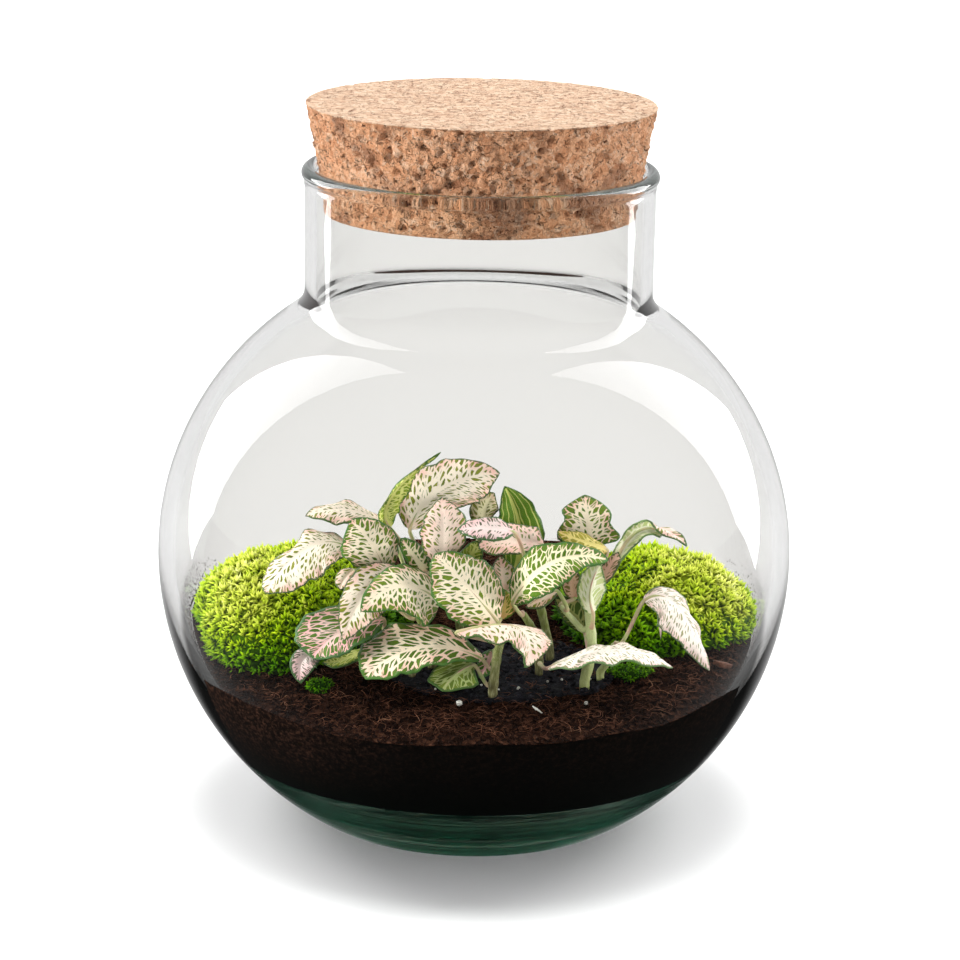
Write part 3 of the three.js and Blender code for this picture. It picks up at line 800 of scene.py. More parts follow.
def make_soil():
    foot = FOOT_THICKNESS + GAP
    profile = [(0, foot), *[(inner_radius(foot) * i / 8, foot) for i in range(1, 8)]]
    profile += [(50 + i, foot + i) for i in range(SIDE_ROWS)]
    profile += [(96 * (1 - i / TOP_ROWS), 100) for i in range(1, TOP_ROWS)] + [(0, 100)]
    shape = turned(profile, 240)
    for vert in shape.verts:
        x, y, z = vert.co
        wide = hypot(x, y)
        turn = atan2(y, x)
        rim = soil_height(RIM * cos(turn), RIM * sin(turn))
        if z > 99:
            share = wide / 96
            edge = soil_edge(rim, turn)
            x, y = share * edge * cos(turn), share * edge * sin(turn)
            settle = 1 - smooth_step(0.97, 1.0, share)
            z = soil_height(x, y) + soil_relief(x, y) * (0.3 + 0.7 * settle)
            vert.co = (x, y, z)
        elif wide >= 49.9 and z >= foot:
            row = round(z - foot) / (SIDE_ROWS - 1)
            top = rim + 0.3 * soil_relief(RIM * cos(turn), RIM * sin(turn)) - 0.2
            height = foot + (top - foot) * row
            edge = soil_edge(height, turn)
            vert.co = (edge * cos(turn), edge * sin(turn), height)
    if shape.calc_volume(signed=True) < 0:
        bmesh.ops.reverse_faces(shape, faces=shape.faces)
    shape.normal_update()
    for face in shape.faces:
        face.material_index = 0 if face.normal.z > 0.3 else 1
    soil = soil_finish()
    keep(shape, "soil_bed", [soil, pressed_soil_finish()], ["soil"])
    return soil


def make_crumbs(soil):
    dice = random.Random(41)
    cloud = bmesh.new()
    for kind in range(CRUMB_KINDS):
        places = []
        for _ in range(CRUMBS_EACH):
            point = top_point(dice)
            if on_root_ball(point.x, point.y, 0.8):
                continue
            size = 0.5 + 2.1 * dice.random() ** 3
            point.z += soil_relief(point.x, point.y) * 0.9 + size * 0.15
            point = inside_glass(point, 0.4 + size * 0.6)
            tilt = Vector((dice.uniform(-1, 1), dice.uniform(-1, 1), 1)).normalized()
            turn, flat = dice.uniform(0, FULL_TURN), dice.uniform(0.5, 1)
            places.append(placed(point, tilt, turn, size, flat))
        scatter(cloud, crumb(kind + 3), places)
    keep(cloud, "soil_crumbs", [soil], smooth=False)


def make_fibres():
    dice = random.Random(7)
    cloud = bmesh.new()
    for kind in range(FIBRE_KINDS):
        places = []
        for _ in range(FIBRES_EACH):
            point = top_point(dice, 0.97)
            length = 1.8 + 5.5 * dice.random() ** 2
            point.z += soil_relief(point.x, point.y) + dice.uniform(0.1, 0.9)
            point = inside_glass(point, 1 + length * 0.5)
            tilt = Vector((dice.uniform(-0.4, 0.4), dice.uniform(-0.4, 0.4), 1)).normalized()
            places.append(placed(point, tilt, dice.uniform(0, FULL_TURN), length))
        scatter(cloud, fibre(kind + 60), places)
    keep(cloud, "coir_fibres", [fibre_finish()])


def make_root_ball():
    """The plant's own plug: nearly black mix with white perlite grains."""
    dark = Finish("root_ball")
    where = dark.millimetres()
    dust = dark.noise(where, 0.7, 4.0, 0.7)
    colour = dark.ramp(dust, [
        (0.3, tone(9, 9, 11)), (0.5, tone(24, 23, 28)), (0.66, tone(46, 46, 52)),
        (0.8, tone(96, 97, 104)),
    ])
    dark.surface(Base_Color=colour, Roughness=0.9, Specular_IOR_Level=0.1,
                 Normal=dark.bump(dust, 0.001))
    profile = [
        (0, -PLUG_DEPTH), (0.4, -PLUG_DEPTH), (0.8, -PLUG_DEPTH), (0.87, -PLUG_DEPTH * 0.7),
        (0.93, -PLUG_DEPTH * 0.35), (0.97, -2), (0.985, -0.5),
    ]
    profile += [(0.985 * (1 - i / 26), 0) for i in range(1, 26)] + [(0, 0)]
    shape = turned(profile, 90)
    for vert in shape.verts:
        x, y = vert.co.x * (ROOT_WIDE - 0.5) + ROOT_X, vert.co.y * (ROOT_DEEP - 0.5) + ROOT_Y
        z = soil_height(x, y) + ROOT_RISE + vert.co.z
        if vert.co.z > -1:
            z += 0.8 * ripple((x, y, 0), 4.5, 21) + 0.7 * ripple((x, y, 0), 1.8, 22)
        vert.co = (x, y, z)
    keep(shape, "root_plug", [dark.material], ["root_ball"])

    dice = random.Random(99)
    crumbs = bmesh.new()
    grains = bmesh.new()
    for kind in range(4):
        lumps, white = [], []
        for i in range(170):
            turn, out = dice.uniform(0, FULL_TURN), sqrt(dice.random())
            x = ROOT_X + out * (ROOT_WIDE - 1) * cos(turn)
            y = ROOT_Y + out * (ROOT_DEEP - 1) * sin(turn)
            size = 0.6 + 1.8 * dice.random() ** 2
            z = soil_height(x, y) + ROOT_RISE + 0.8 * ripple((x, y, 0), 4.5, 21) + size * 0.15
            if i % 40 == 0:
                white.append(placed(Vector((x, y, z + 0.3)), UP, turn, 0.6 + size * 0.3, 0.9))
            else:
                lumps.append(placed(Vector((x, y, z)), UP, turn * 3, size, 0.8))
        scatter(crumbs, crumb(kind + 30), lumps)
        scatter(grains, crumb(kind + 50, 0.2), white)
    keep(crumbs, "root_crumbs", [dark.material], smooth=False)
    # Two loose white grains and a splinter lie in front of the plant.
    pearl = crumb(70, 0.15)
    scatter(grains, pearl, [
        placed(Vector((-3.4, -66, soil_height(-3.4, -66) + 1.4)), UP, 0.4, 2.1),
        placed(Vector((34, -64, soil_height(34, -64) + 0.8)), UP, 1.4, 1.3),
    ])
    lie = Vector((19.4, -70, soil_height(19.4, -70) + 1.2))
    sweep(grains, [lie + Vector((-1.3, 0, 1.1)), lie, lie + Vector((1.5, -0.4, -0.9))],
          [0.15, 0.42, 0.2], 5)
    perlite = Finish("perlite")
    chalk = perlite.noise(perlite.millimetres(), 1.2, 3.0)
    perlite.surface(
        Base_Color=perlite.ramp(chalk, [(0.3, tone(176, 174, 166)), (0.7, tone(236, 234, 226))]),
        Roughness=0.85, Normal=perlite.bump(chalk, 0.0005))
    keep(grains, "perlite_grains", [perlite.material])


def make_glass_dust(soil):
    """Specks of soil that cling to the inside of the glass just above the bed."""
    dice = random.Random(17)
    cloud = bmesh.new()
    places = []
    for side, low, high, count in ((pi, -0.35, 0.5, 900), (0.0, -0.6, 0.4, 500)):
        for _ in range(count):
            turn = side + dice.uniform(low, high)
            rise = 0.6 + 9.5 * dice.random() ** 1.8
            height = soil_height(90 * cos(turn), 90 * sin(turn)) + rise
            wide = inner_radius(height) - 0.12
            point = Vector((wide * cos(turn), wide * sin(turn), height))
            size = dice.uniform(0.3, 0.9) * (1 - rise / 20)
            places.append(placed(point, Vector((cos(turn), sin(turn), 0)), 0, size, 0.3))
    scatter(cloud, crumb(5), places)
    keep(cloud, "specks_on_glass", [soil], smooth=False)


def make_bark_chip(soil):
    chip = bmesh.new()
    bmesh.ops.create_cube(chip, size=1)
    bmesh.ops.subdivide_edges(chip, edges=chip.edges, cuts=2, use_grid_fill=True)
    x, y = 76.5, -38
    for vert in chip.verts:
        vert.co += 0.16 * noise.noise_vector(vert.co * 1.7)
        vert.co = Vector((vert.co.x * 5.6, vert.co.y * 3.0, vert.co.z * 1.5))
    turn = Matrix.Rotation(0.7, 4, "Z") @ Matrix.Rotation(0.35, 4, "Y")
    bmesh.ops.transform(chip, matrix=Matrix.Translation((x, y, soil_height(x, y) + 1.6)) @ turn,
                        verts=chip.verts)
    bark = Finish("bark")
    streak = bark.noise(bark.vector("MULTIPLY", bark.millimetres(), (0.4, 1.6, 1.6)), 1.0, 4.0)
    bark.surface(Base_Color=bark.ramp(streak, [(0.3, tone(70, 36, 24)), (0.7, tone(124, 76, 54))]),
                 Roughness=0.9, Normal=bark.bump(streak, 0.0006))
    keep(chip, "bark_chip", [bark.material])


# ----------------------------------------------------------------------- moss
# Where each cushion lies: x, y, half width, half depth and height.
MOSS = {
    "moss_cushion_left": (-56, -6, 36, 41, 22),
    "moss_cushion_right": (59, 1.5, 33.5, 35.5, 21),
    "moss_tuft_right": (49, -43, 8, 5, 4),
    "moss_tuft_left": (-45, -56, 4.5, 4, 4),
}
MOSS_LOBE, MOSS_FLATNESS = 0.06, 0.8
# How far the core lies inside, then the spacing, tries and sizes of the shoots.
Growth = namedtuple("Growth", "inset spacing tries smallest largest")
CUSHION, TUFT = Growth(2.6, 2.5, 9000, 5.0, 8.6), Growth(1.2, 1.5, 900, 2.8, 3.8)


def moss_finish():
    """Yellow-green on the crown and outer sides, deep green towards the ground: partly the moss's
    own colour and partly painted light, with the paler outer sides as a painted reflection of the
    lit panels and painted shade at the leaflets' bases in the gaps.
    """
    moss = Finish("moss")
    where = moss.millimetres()
    place = moss.split(where)
    tip = moss.value_of("tip")
    # Paler towards the outer sides as a painted reflection of the lit panels in the glass; paler up
    # the crown, partly the moss's own colour, partly painted light.
    outer = moss.step(abs(place.x), 40.0, 84.0)
    rise = moss.step(place.z - place.y * 0.1, 62.0, 83.0)
    patches = moss.noise(where, 0.09, 3.0, 0.6)
    specks = moss.noise(where, 0.5, 2.0, 0.6)
    paleness_and_painted_light = outer * 0.36 + rise * 0.52 + (patches - 0.5) * 0.9 + (specks - 0.5) * 0.5
    leaf = moss.ramp(paleness_and_painted_light, [
        (0.0, tone(74, 130, 0)), (0.3, tone(122, 174, 2)), (0.55, tone(184, 212, 16)),
        (0.8, tone(228, 236, 92)), (1.0, tone(246, 248, 160)),
    ])
    shade = moss.ramp(paleness_and_painted_light, [
        (0.0, tone(14, 42, 0)), (0.5, tone(66, 102, 0)), (1.0, tone(160, 166, 24)),
    ])
    # Painted shade: the leaflets' bases, deep in the gaps, take the darker ramp.
    colour = moss.mix(moss.step(tip, 0.1, 0.8), shade, leaf)
    moss.surface(Base_Color=colour, Roughness=0.6, Specular_IOR_Level=0.06)
    return moss.material


def shoot(seed, leaflets=11):
    """A star of pointed leaflets about one unit across, opening upwards."""
    dice = random.Random(seed)
    shape = bmesh.new()
    tip = shape.verts.layers.float.new("tip")
    for i in range(leaflets):
        low = i < leaflets * 0.6
        lean = radians(dice.uniform(52, 78) if low else dice.uniform(12, 42))
        turn = 2 * pi * i / (leaflets * 0.6) + dice.uniform(-0.25, 0.25)
        length = dice.uniform(0.42, 0.56)
        half = bmesh.ops.create_cone(shape, cap_ends=False, segments=3, radius1=0.1,
                                     radius2=0, depth=0.62 * length)["verts"]
        heel = bmesh.ops.create_cone(shape, cap_ends=False, segments=3, radius1=0,
                                     radius2=0.1, depth=0.38 * length)["verts"]
        bmesh.ops.translate(shape, verts=half, vec=(0, 0, 0.69 * length))
        bmesh.ops.translate(shape, verts=heel, vec=(0, 0, 0.19 * length))
        blade = half + heel
        for vert in blade:
            vert[tip] = vert.co.z / length
        flat = Matrix.Diagonal((0.45, 1.25, 1, 1))
        place = Matrix.Rotation(turn, 4, "Z") @ Matrix.Rotation(lean, 4, "Y") @ flat
        bmesh.ops.transform(shape, matrix=place, verts=blade)
    bmesh.ops.remove_doubles(shape, verts=shape.verts, dist=1e-5)
    bmesh.ops.recalc_face_normals(shape, faces=shape.faces)
    return as_mesh(shape, "shoot")


def moss_core(x, y, half_width, half_depth, height, shrink):
    """The cushion's own shape, lumpy, cut by the soil and held in by the glass."""
    shape = bmesh.new()
    bmesh.ops.create_uvsphere(shape, u_segments=96, v_segments=60, radius=1)
    level = soil_height(x, y)
    for vert in shape.verts:
        point = vert.co
        turn = atan2(point.y, point.x)
        spread = 1 + MOSS_LOBE * sin(3 * turn + x) * hypot(point.x, point.y)
        rise = abs(point.z) ** MOSS_FLATNESS * (1 if point.z > 0 else -1)
        place = Vector((
            x + point.x * (half_width - shrink) * spread,
            y + point.y * (half_depth - shrink) * spread,
            level + rise * (height - shrink),
        ))
        lump = 0.6 * shrink * ripple(place, max(4, height * 0.5), 31)
        lump += 0.5 * shrink * ripple(place, 5.5, 32)
        place += Vector((point.x, point.y, point.z)) * lump
        place.z = max(place.z, soil_height(place.x, place.y) - 1)
        vert.co = inside_glass(place, 0.6 + 0.4 * shrink)
    bmesh.ops.remove_doubles(shape, verts=shape.verts, dist=1e-3)
    bmesh.ops.recalc_face_normals(shape, faces=shape.faces)
    shape.normal_update()
    return shape


def spread_over(shape, spacing, dice, tries):
    """Random points on the faces of a shape, none closer than spacing."""
    faces = [face for face in shape.faces if face.calc_area() > 1e-6]
    weights = [face.calc_area() for face in faces]
    taken, found = {}, []
    for face in dice.choices(faces, weights, k=tries):
        corners = [vert.co for vert in face.verts]
        pick = sorted((dice.random(), dice.random()))
        a, b, c = corners[0], corners[1], corners[2]
        if len(corners) == 4 and dice.random() < 0.5:
            b = corners[3]
        point = a * pick[0] + b * (pick[1] - pick[0]) + c * (1 - pick[1])
        cell = tuple(int(part // spacing) for part in point)
        near = [
            other
            for i in (-1, 0, 1) for j in (-1, 0, 1) for k in (-1, 0, 1)
            for other in taken.get((cell[0] + i, cell[1] + j, cell[2] + k), ())
        ]
        if all((other - point).length > spacing for other in near):
            taken.setdefault(cell, []).append(point)
            found.append((point, face.normal.copy()))
    return found


def make_moss():
    finish = moss_finish()
    kinds = [shoot(seed) for seed in range(5)]
    dice = random.Random(5)
    for name, (x, y, half_width, half_depth, height) in MOSS.items():
        growth = CUSHION if height > 10 else TUFT
        shape = moss_core(x, y, half_width, half_depth, height, growth.inset)
        spots = spread_over(shape, growth.spacing, dice, growth.tries)
        places = [[] for _ in kinds]
        for point, normal in spots:
            if point.z < soil_height(point.x, point.y) + 0.4:
                continue
            up = (normal + Vector((0, 0, 0.35))).normalized()
            up += Vector((dice.uniform(-1, 1), dice.uniform(-1, 1), dice.uniform(-1, 1))) * 0.22
            size = dice.uniform(growth.smallest, growth.largest)
            spot = placed(point - normal * 0.3, up.normalized(), dice.uniform(0, FULL_TURN), size)
            dice.choice(places).append(spot)
        for kind, group in zip(kinds, places):
            scatter(shape, kind, group)
        for vert in shape.verts:
            vert.co = inside_glass(vert.co, 0.4)
        keep(shape, name.replace("moss_", "moss_shoots_"), [finish], [name])


# ---------------------------------------------------------------------- stems
# A stem stands on the root ball at its root, or grows from another stem, and
# passes the places of its path.
Stem = namedtuple("Stem", "radius root path origin at", defaults=(None, 0.5))
STEMS = {
    "front": Stem(1.5, (6.5, -60), [(7.5, -59, 69), (9.5, -50, 75)]),
    "middle": Stem(1.3, (20.5, -43), [(20, -42, 68.5), (15, -44, 78)]),
    "right": Stem(1.6, (34, -53), [(36, -50, 69), (35, -43, 80), (36.5, -38, 90)]),
    "far_right": Stem(1.2, (39, -47), [(41, -48, 64), (43, -46, 69.5)]),
    "back_left": Stem(1.4, (-12, -42), [(-14, -39, 68.5), (-21, -38, 84)]),
    "left": Stem(1.2, (-18, -48), [(-22, -47, 66), (-27, -42, 71.5)]),
    "centre_back": Stem(1.4, (-3, -36), [(-4.5, -35, 73.5), (-9, -36, 87.5)]),
    "right_back": Stem(1.4, (24, -33), [(21, -31, 74.5), (16.5, -35, 90)]),
    "branch": Stem(1.0, None, [(31, -45, 75.5), (26.5, -43, 80)], origin="right"),
}
STEM_LIFT, STEM_HEEL = 0.45, 2.0


class Curve:
    """A centripetal curve through points, read by its share of length."""

    def __init__(self, points, steps=24):
        spots = []
        for i in range(len(points) - 1):
            near, far = points[i], points[i + 1]
            before = points[i - 1] if i else 2 * near - far
            after = points[i + 2] if i + 2 < len(points) else 2 * far - near
            gaps = [(b - a).length ** 0.5 for a, b in ((before, near), (near, far), (far, after))]
            leave = ((near - before) / gaps[0] - (far - before) / (gaps[0] + gaps[1])
                     + (far - near) / gaps[1]) * gaps[1]
            arrive = ((far - near) / gaps[1] - (after - near) / (gaps[1] + gaps[2])
                      + (after - far) / gaps[2]) * gaps[1]
            square = 3 * (far - near) - 2 * leave - arrive
            cube = 2 * (near - far) + leave + arrive
            spots += [
                near + leave * t + square * t ** 2 + cube * t ** 3
                for t in (j / steps for j in range(steps))
            ]
        self.spots = [*spots, points[-1]]
        self.reach = [0.0]
        for a, b in zip(self.spots, self.spots[1:]):
            self.reach.append(self.reach[-1] + (b - a).length)

    def at(self, share):
        goal = min(1, max(0, share)) * self.reach[-1]
        last = len(self.spots) - 2
        i = next((i for i, reach in enumerate(self.reach[1:]) if reach >= goal), last)
        step = self.reach[i + 1] - self.reach[i]
        return self.spots[i].lerp(self.spots[i + 1], (goal - self.reach[i]) / step)

    def aim(self, share):
        return (self.at(share + 0.01) - self.at(share - 0.01)).normalized()


curves = {}


def seat_on_stem(stem, at, towards):
    """Where a side shoot leaves a stem, and the way it leaves."""
    curve, radius = curves[stem]
    axis = curve.at(at)
    along = curve.aim(at)
    outward = towards - axis
    outward = (outward - along * outward.dot(along)).normalized()
    return axis, axis + outward * (radius + GAP), outward


def stem_finish(name, young, old):
    stem = Finish(name)
    where = stem.millimetres()
    streaks = stem.noise(stem.vector("MULTIPLY", where, (2.2, 2.2, 0.35)), 1.0, 3.0, 0.6)
    height = stem.step(stem.split(where).z, 58.0, 82.0)
    colour = stem.mix(height, old, young)
    colour = stem.mix(stem.step(streaks, 0.4, 0.7, 0.0, 0.4), colour, tone(206, 202, 156))
    specks = stem.step(stem.noise(where, 2.6, 2.0), 0.62, 0.7)
    colour = stem.mix(specks * 0.4, colour, tone(122, 110, 74))
    stem.surface(Base_Color=colour, Roughness=0.5, Normal=stem.bump(streaks, 0.0003),
                 Specular_IOR_Level=0.35)
    return stem.material


def make_stems():
    olive = stem_finish("stem_olive", tone(132, 148, 70), tone(98, 94, 60))
    pale = stem_finish("stem_pale", tone(196, 208, 148), tone(158, 166, 106))
    for name, stem in STEMS.items():
        path = [Vector(point) for point in stem.path]
        if stem.origin:
            axis, place, outward = seat_on_stem(stem.origin, stem.at, path[0])
            start, points = [axis], [place, place + outward * STEM_HEEL / 4, *path]
        else:
            x, y = stem.root
            foot = Vector((x, y, soil_height(x, y) + ROOT_RISE + STEM_LIFT))
            start = [foot - Vector((0, 0, 3))]
            points = [foot, foot + Vector((0, 0, STEM_HEEL)), *path]
        curve = Curve(points)
        curves[name] = (curve, stem.radius)
        steps = 22
        line = start + [curve.at(i / steps) for i in range(steps + 1)]
        radii = [stem.radius]
        for i in range(steps + 1):
            node = 0.16 * exp(-((i / steps * 3.2) % 1 - 0.5) ** 2 / 0.012)
            taper = 1.04 - 0.2 * i / steps
            radii.append(stem.radius * (taper + node - 0.06) * (0.55 if i == steps else 1))
        shape = bmesh.new()
        sweep(shape, line, radii, 14)
        finish = pale if name in ("right", "far_right", "branch") else olive
        keep(shape, "shoot_" + name, [finish], ["stem_" + name])


# --------------------------------------------------------------------- leaves
# The blade is stretched from base to tip over its middle; left and right are
# the margins at the middle, seen from above with the base nearest.
Leaf = namedtuple(
    "Leaf", "stem at base middle tip left right widest blunt camber parallel",
    defaults=(0.45, 0.72, 1.2, False),
)
LEAVES = {
    "far_left": Leaf(
        "back_left", 0.92, (-37.5, -38, 95), (-49, -44, 97.5), (-61.5, -52, 85.5),
        (-45, -51, 91), (-54, -38, 99.5), widest=0.5, blunt=0.55,
    ),
    "left_back": Leaf(
        "back_left", 0.8, (-27, -30, 100), (-38.5, -31, 105), (-51, -34, 104),
        (-40, -37, 102.5), (-39, -24, 105.5),
    ),
    "left_upright": Leaf(
        "back_left", 1, (-26.5, -41, 88.5), (-30.5, -45, 99), (-37, -43, 105.5),
        (-39.5, -46, 96), (-23.5, -40, 101), blunt=0.6,
    ),
    "top_curled": Leaf(
        "centre_back", 0.9, (-25.5, -35, 101), (-25.5, -35, 111), (-10.5, -33, 124.5),
        (-28.5, -35, 107.5), (-22, -32, 108), widest=0.36,
    ),
    "top_large": Leaf(
        "centre_back", 1, (-19.5, -34, 100.5), (-10.5, -30, 112), (7.5, -30, 117.5),
        (-15.5, -27, 118.5), (0, -33, 108.5),
    ),
    "centre_pink": Leaf(
        "centre_back", 0.85, (-10, -42, 91.5), (-9.5, -43, 103), (-10, -37, 111.5),
        (-16.5, -42, 102), (-2, -41, 104.5),
    ),
    "crown_front": Leaf(
        "right_back", 1, (11.5, -48, 104.5), (3, -50, 106), (-5, -49, 105),
        (4, -53, 103), (4, -46, 108.5),
    ),
    "crown_folded": Leaf(
        "right_back", 0.86, (21, -35, 96.5), (10.5, -39, 98.5), (1.5, -43, 97.5),
        (9.5, -43, 95.5), (13.5, -33, 102.5),
    ),
    "back_khaki": Leaf(
        "centre_back", 0.92, (3, -29, 101), (3, -28, 106), (6, -26, 110),
        (-1.5, -29, 106), (7.5, -26, 105),
    ),
    "back_veined": Leaf(
        "right_back", 0.75, (12, -32, 85), (14, -28, 98), (9, -22, 111),
        (7.5, -30, 100), (21, -27, 100),
    ),
    "right_back": Leaf(
        "right", 0.86, (36, -33, 95.5), (34.5, -32, 103.5), (33.5, -28, 110.5),
        (25.5, -32, 101.5), (43.5, -32, 101), widest=0.42,
    ),
    "right_ochre": Leaf(
        "right", 0.95, (40, -40, 97), (33, -41, 99.5), (25, -39, 102),
        (34.5, -44, 96), (33, -37, 101),
    ),
    "far_right_twisted": Leaf(
        "right", 1, (42.5, -38, 91.5), (51.5, -36, 102.5), (64, -38, 98),
        (55, -38, 101), (48.5, -34, 103.5),
    ),
    "right_net": Leaf(
        "middle", 1, (12, -48, 82.5), (24, -53, 97), (40, -49, 96.5),
        (20, -48, 102), (26, -58, 91),
    ),
    "centre_large": Leaf(
        "front", 0.88, (7.5, -52, 77.5), (-2, -54, 89.5), (-11.5, -49, 97.5),
        (-10, -58, 84), (5, -47, 93.5), blunt=0.62,
    ),
    "centre_arched": Leaf(
        "back_left", 0.72, (-10, -48, 82), (-21.5, -54, 89), (-33, -59, 82.5),
        (-15.5, -58, 79.5), (-23.5, -49, 94), widest=0.36,
    ),
    "left_middle": Leaf(
        "back_left", 0.84, (-21.5, -46, 89.5), (-31.5, -51, 86.5), (-38, -58, 73),
        (-26.5, -55, 80.5), (-36.5, -49, 90),
    ),
    "left_pink": Leaf(
        "left", 0.95, (-27, -48, 76.5), (-39, -53, 73.5), (-47, -58, 67),
        (-36.5, -60, 70), (-51, -49, 76), blunt=0.6,
    ),
    "left_curled": Leaf(
        "left", 0.35, (-45, -50, 65.5), (-50.5, -54, 65), (-50.5, -58, 59),
        (-46, -57, 63.5), (-53.5, -53, 66.5),
    ),
    "left_under": Leaf(
        "left", 0.7, (-30.5, -50, 67.5), (-38.5, -53, 64.5), (-44.5, -55, 64.5),
        (-38, -57, 64), (-38.5, -49, 65.5),
    ),
    "front_left": Leaf(
        "front", 0.35, (3, -57, 67.5), (-15.5, -58, 71), (-31.5, -62, 62.5),
        (-15.5, -66, 67), (-25.5, -50, 74.5), widest=0.55, blunt=0.6,
    ),
    "front_hanging": Leaf(
        "front", 0.12, (0.5, -58, 66), (-4.5, -60, 63.5), (-8.5, -64, 59.5),
        (-12.5, -60, 63.5), (1.5, -63, 61),
    ),
    "front_centre": Leaf(
        "front", 0.7, (-4.5, -60, 77), (13.5, -62, 79.5), (15.5, -69, 69.5),
        (22, -58, 76), (11.5, -67, 75), parallel=True,
    ),
    "front_small": Leaf(
        "front", 0.3, (6.5, -52, 68.5), (5, -53, 65), (2.5, -54, 60),
        (8.5, -53, 64.5), (2, -51, 65),
    ),
    "bud": Leaf(
        "front", 0.97, (8.5, -47, 77), (9.5, -47, 81.5), (9, -46, 86),
        (6.5, -46, 81), (12.5, -46, 81),
    ),
    "right_folded": Leaf(
        "right", 0.5, (36, -49, 80), (35, -48, 87), (38, -46, 94.5),
        (40, -45, 86.5), (31.5, -46, 89),
    ),
    "right_shaded": Leaf(
        "right", 0.3, (34, -40, 71), (30, -38, 76), (25, -37, 80.5),
        (27.5, -39, 74), (33.5, -37, 79),
    ),
    "right_brown": Leaf(
        "branch", 1, (31, -38, 81), (30, -38, 85.5), (30.5, -36, 90),
        (27, -38, 84.5), (33, -38, 85.5),
    ),
    "right_small": Leaf(
        "right", 0.7, (38, -44, 87), (40.5, -43.5, 92), (43.5, -42, 97),
        (38.5, -42, 92.5), (43.5, -44, 92.5),
    ),
    "right_underside": Leaf(
        "branch", 0.8, (25, -44, 85), (20.5, -46, 83.5), (16, -47, 80.5),
        (20.5, -44, 84.5), (21.5, -48, 81.5),
    ),
    "right_arched": Leaf(
        "far_right", 1, (51.5, -44, 82.5), (61.5, -44, 81), (72, -42, 59.5),
        (66, -40, 77.5), (56, -49, 75.5), widest=0.42, blunt=0.66,
    ),
    "front_right": Leaf(
        "middle", 0.15, (23, -57, 65), (42, -61, 72.5), (59, -61, 67.5),
        (43.5, -53, 71.5), (41.5, -69, 71.5),
    ),
    "left_inner": Leaf(
        "centre_back", 0.66, (-14.5, -41, 89), (-18.5, -43, 95.5), (-22, -42, 100),
        (-20, -43, 92.5), (-15, -41, 96.5),
    ),
    "centre_yellow": Leaf(
        "centre_back", 0.8, (-3.5, -38, 88.5), (-1, -39, 93.5), (1, -38, 98.5),
        (-4, -38, 95), (2.5, -39, 92),
    ),
    "inner_pink": Leaf(
        "right_back", 0.6, (10, -38, 81.5), (9, -38, 87), (8, -36, 93),
        (5.5, -38, 87.5), (14, -37, 86.5),
    ),
    "left_small": Leaf(
        "back_left", 0.6, (-36, -37, 88), (-38.5, -39, 86), (-40, -41, 83),
        (-37, -41, 84.5), (-41.5, -37, 86.5),
    ),
}

# How the two faces of a leaf are coloured: the face seen from above, then the
# face seen from below.
FACES = {
    "far_left": ("dashed", "olive"), "left_back": ("dashed", "olive"),
    "left_upright": ("spotted", "olive"), "top_curled": ("lime", "dashed"),
    "top_large": ("dashed", "olive"), "centre_pink": ("rosy", "olive"),
    "crown_front": ("pink_strokes", "olive"), "crown_folded": ("rosy", "olive"),
    "back_khaki": ("khaki", "olive"), "back_veined": ("veined", "olive"),
    "right_back": ("spotted", "olive"), "right_ochre": ("ochre", "dashed"),
    "far_right_twisted": ("rosy", "pale_under"), "right_net": ("net", "olive"),
    "centre_large": ("spotted", "olive"), "centre_arched": ("spotted", "khaki"),
    "left_middle": ("dashed", "olive"), "left_pink": ("pink_net", "olive"),
    "left_curled": ("pink_strokes", "olive"), "left_under": ("lime", "dashed"),
    "front_left": ("broad", "olive"), "front_hanging": ("olive", "olive"),
    "front_centre": ("rosy", "olive"), "front_small": ("pink_net", "olive"),
    "bud": ("bud", "olive"), "right_folded": ("pale_under", "pale_under"),
    "right_shaded": ("shaded", "shaded"), "right_brown": ("brown", "olive"),
    "right_small": ("brown", "olive"), "right_underside": ("brown", "dashed"),
    "right_arched": ("grey_dashed", "olive"), "front_right": ("grey_dashed", "pale_under"),
    "left_inner": ("net", "olive"), "centre_yellow": ("lime", "dashed"),
    "inner_pink": ("rosy", "olive"), "left_small": ("dashed", "olive"),
}

# Lobes and notches of single margins: side (-1 left, 1 right), place from base
# to tip, half width of the lobe and how much of the width it adds.
LOBES = {
    "right_back": [(-1, 0.58, 0.1, -0.16), (1, 0.56, 0.1, -0.14), (-1, 0.84, 0.12, 0.3),
                   (1, 0.84, 0.12, 0.28), (-1, 0.3, 0.14, 0.15), (1, 0.3, 0.14, 0.1)],
    "right_net": [(-1, 0.7, 0.25, -0.3), (1, 0.82, 0.15, -0.3)],
    "bud": [(-1, 0.5, 0.3, 0.5), (1, 0.5, 0.3, 0.4)],
    "far_left": [(1, 0.62, 0.17, -0.52), (1, 0.95, 0.07, 0.25), (-1, 0.9, 0.1, 0.1)],
    "top_curled": [(-1, 0.84, 0.12, -0.6), (1, 0.84, 0.12, -0.6)],
    "top_large": [(-1, 0.55, 0.05, -0.08), (-1, 0.78, 0.05, -0.07), (1, 0.7, 0.05, -0.1)],
    "centre_pink": [(-1, 0.35, 0.05, -0.12), (-1, 0.6, 0.05, -0.14)],
    "front_centre": [(1, 0.45, 0.06, -0.14), (1, 0.65, 0.05, -0.1)],
    "centre_large": [(-1, 0.8, 0.06, -0.1)],
}

# Leaves that turn over along the midrib: where, and by how much in radians.
TWISTS = {"far_right_twisted": (0.63, 2.7)}

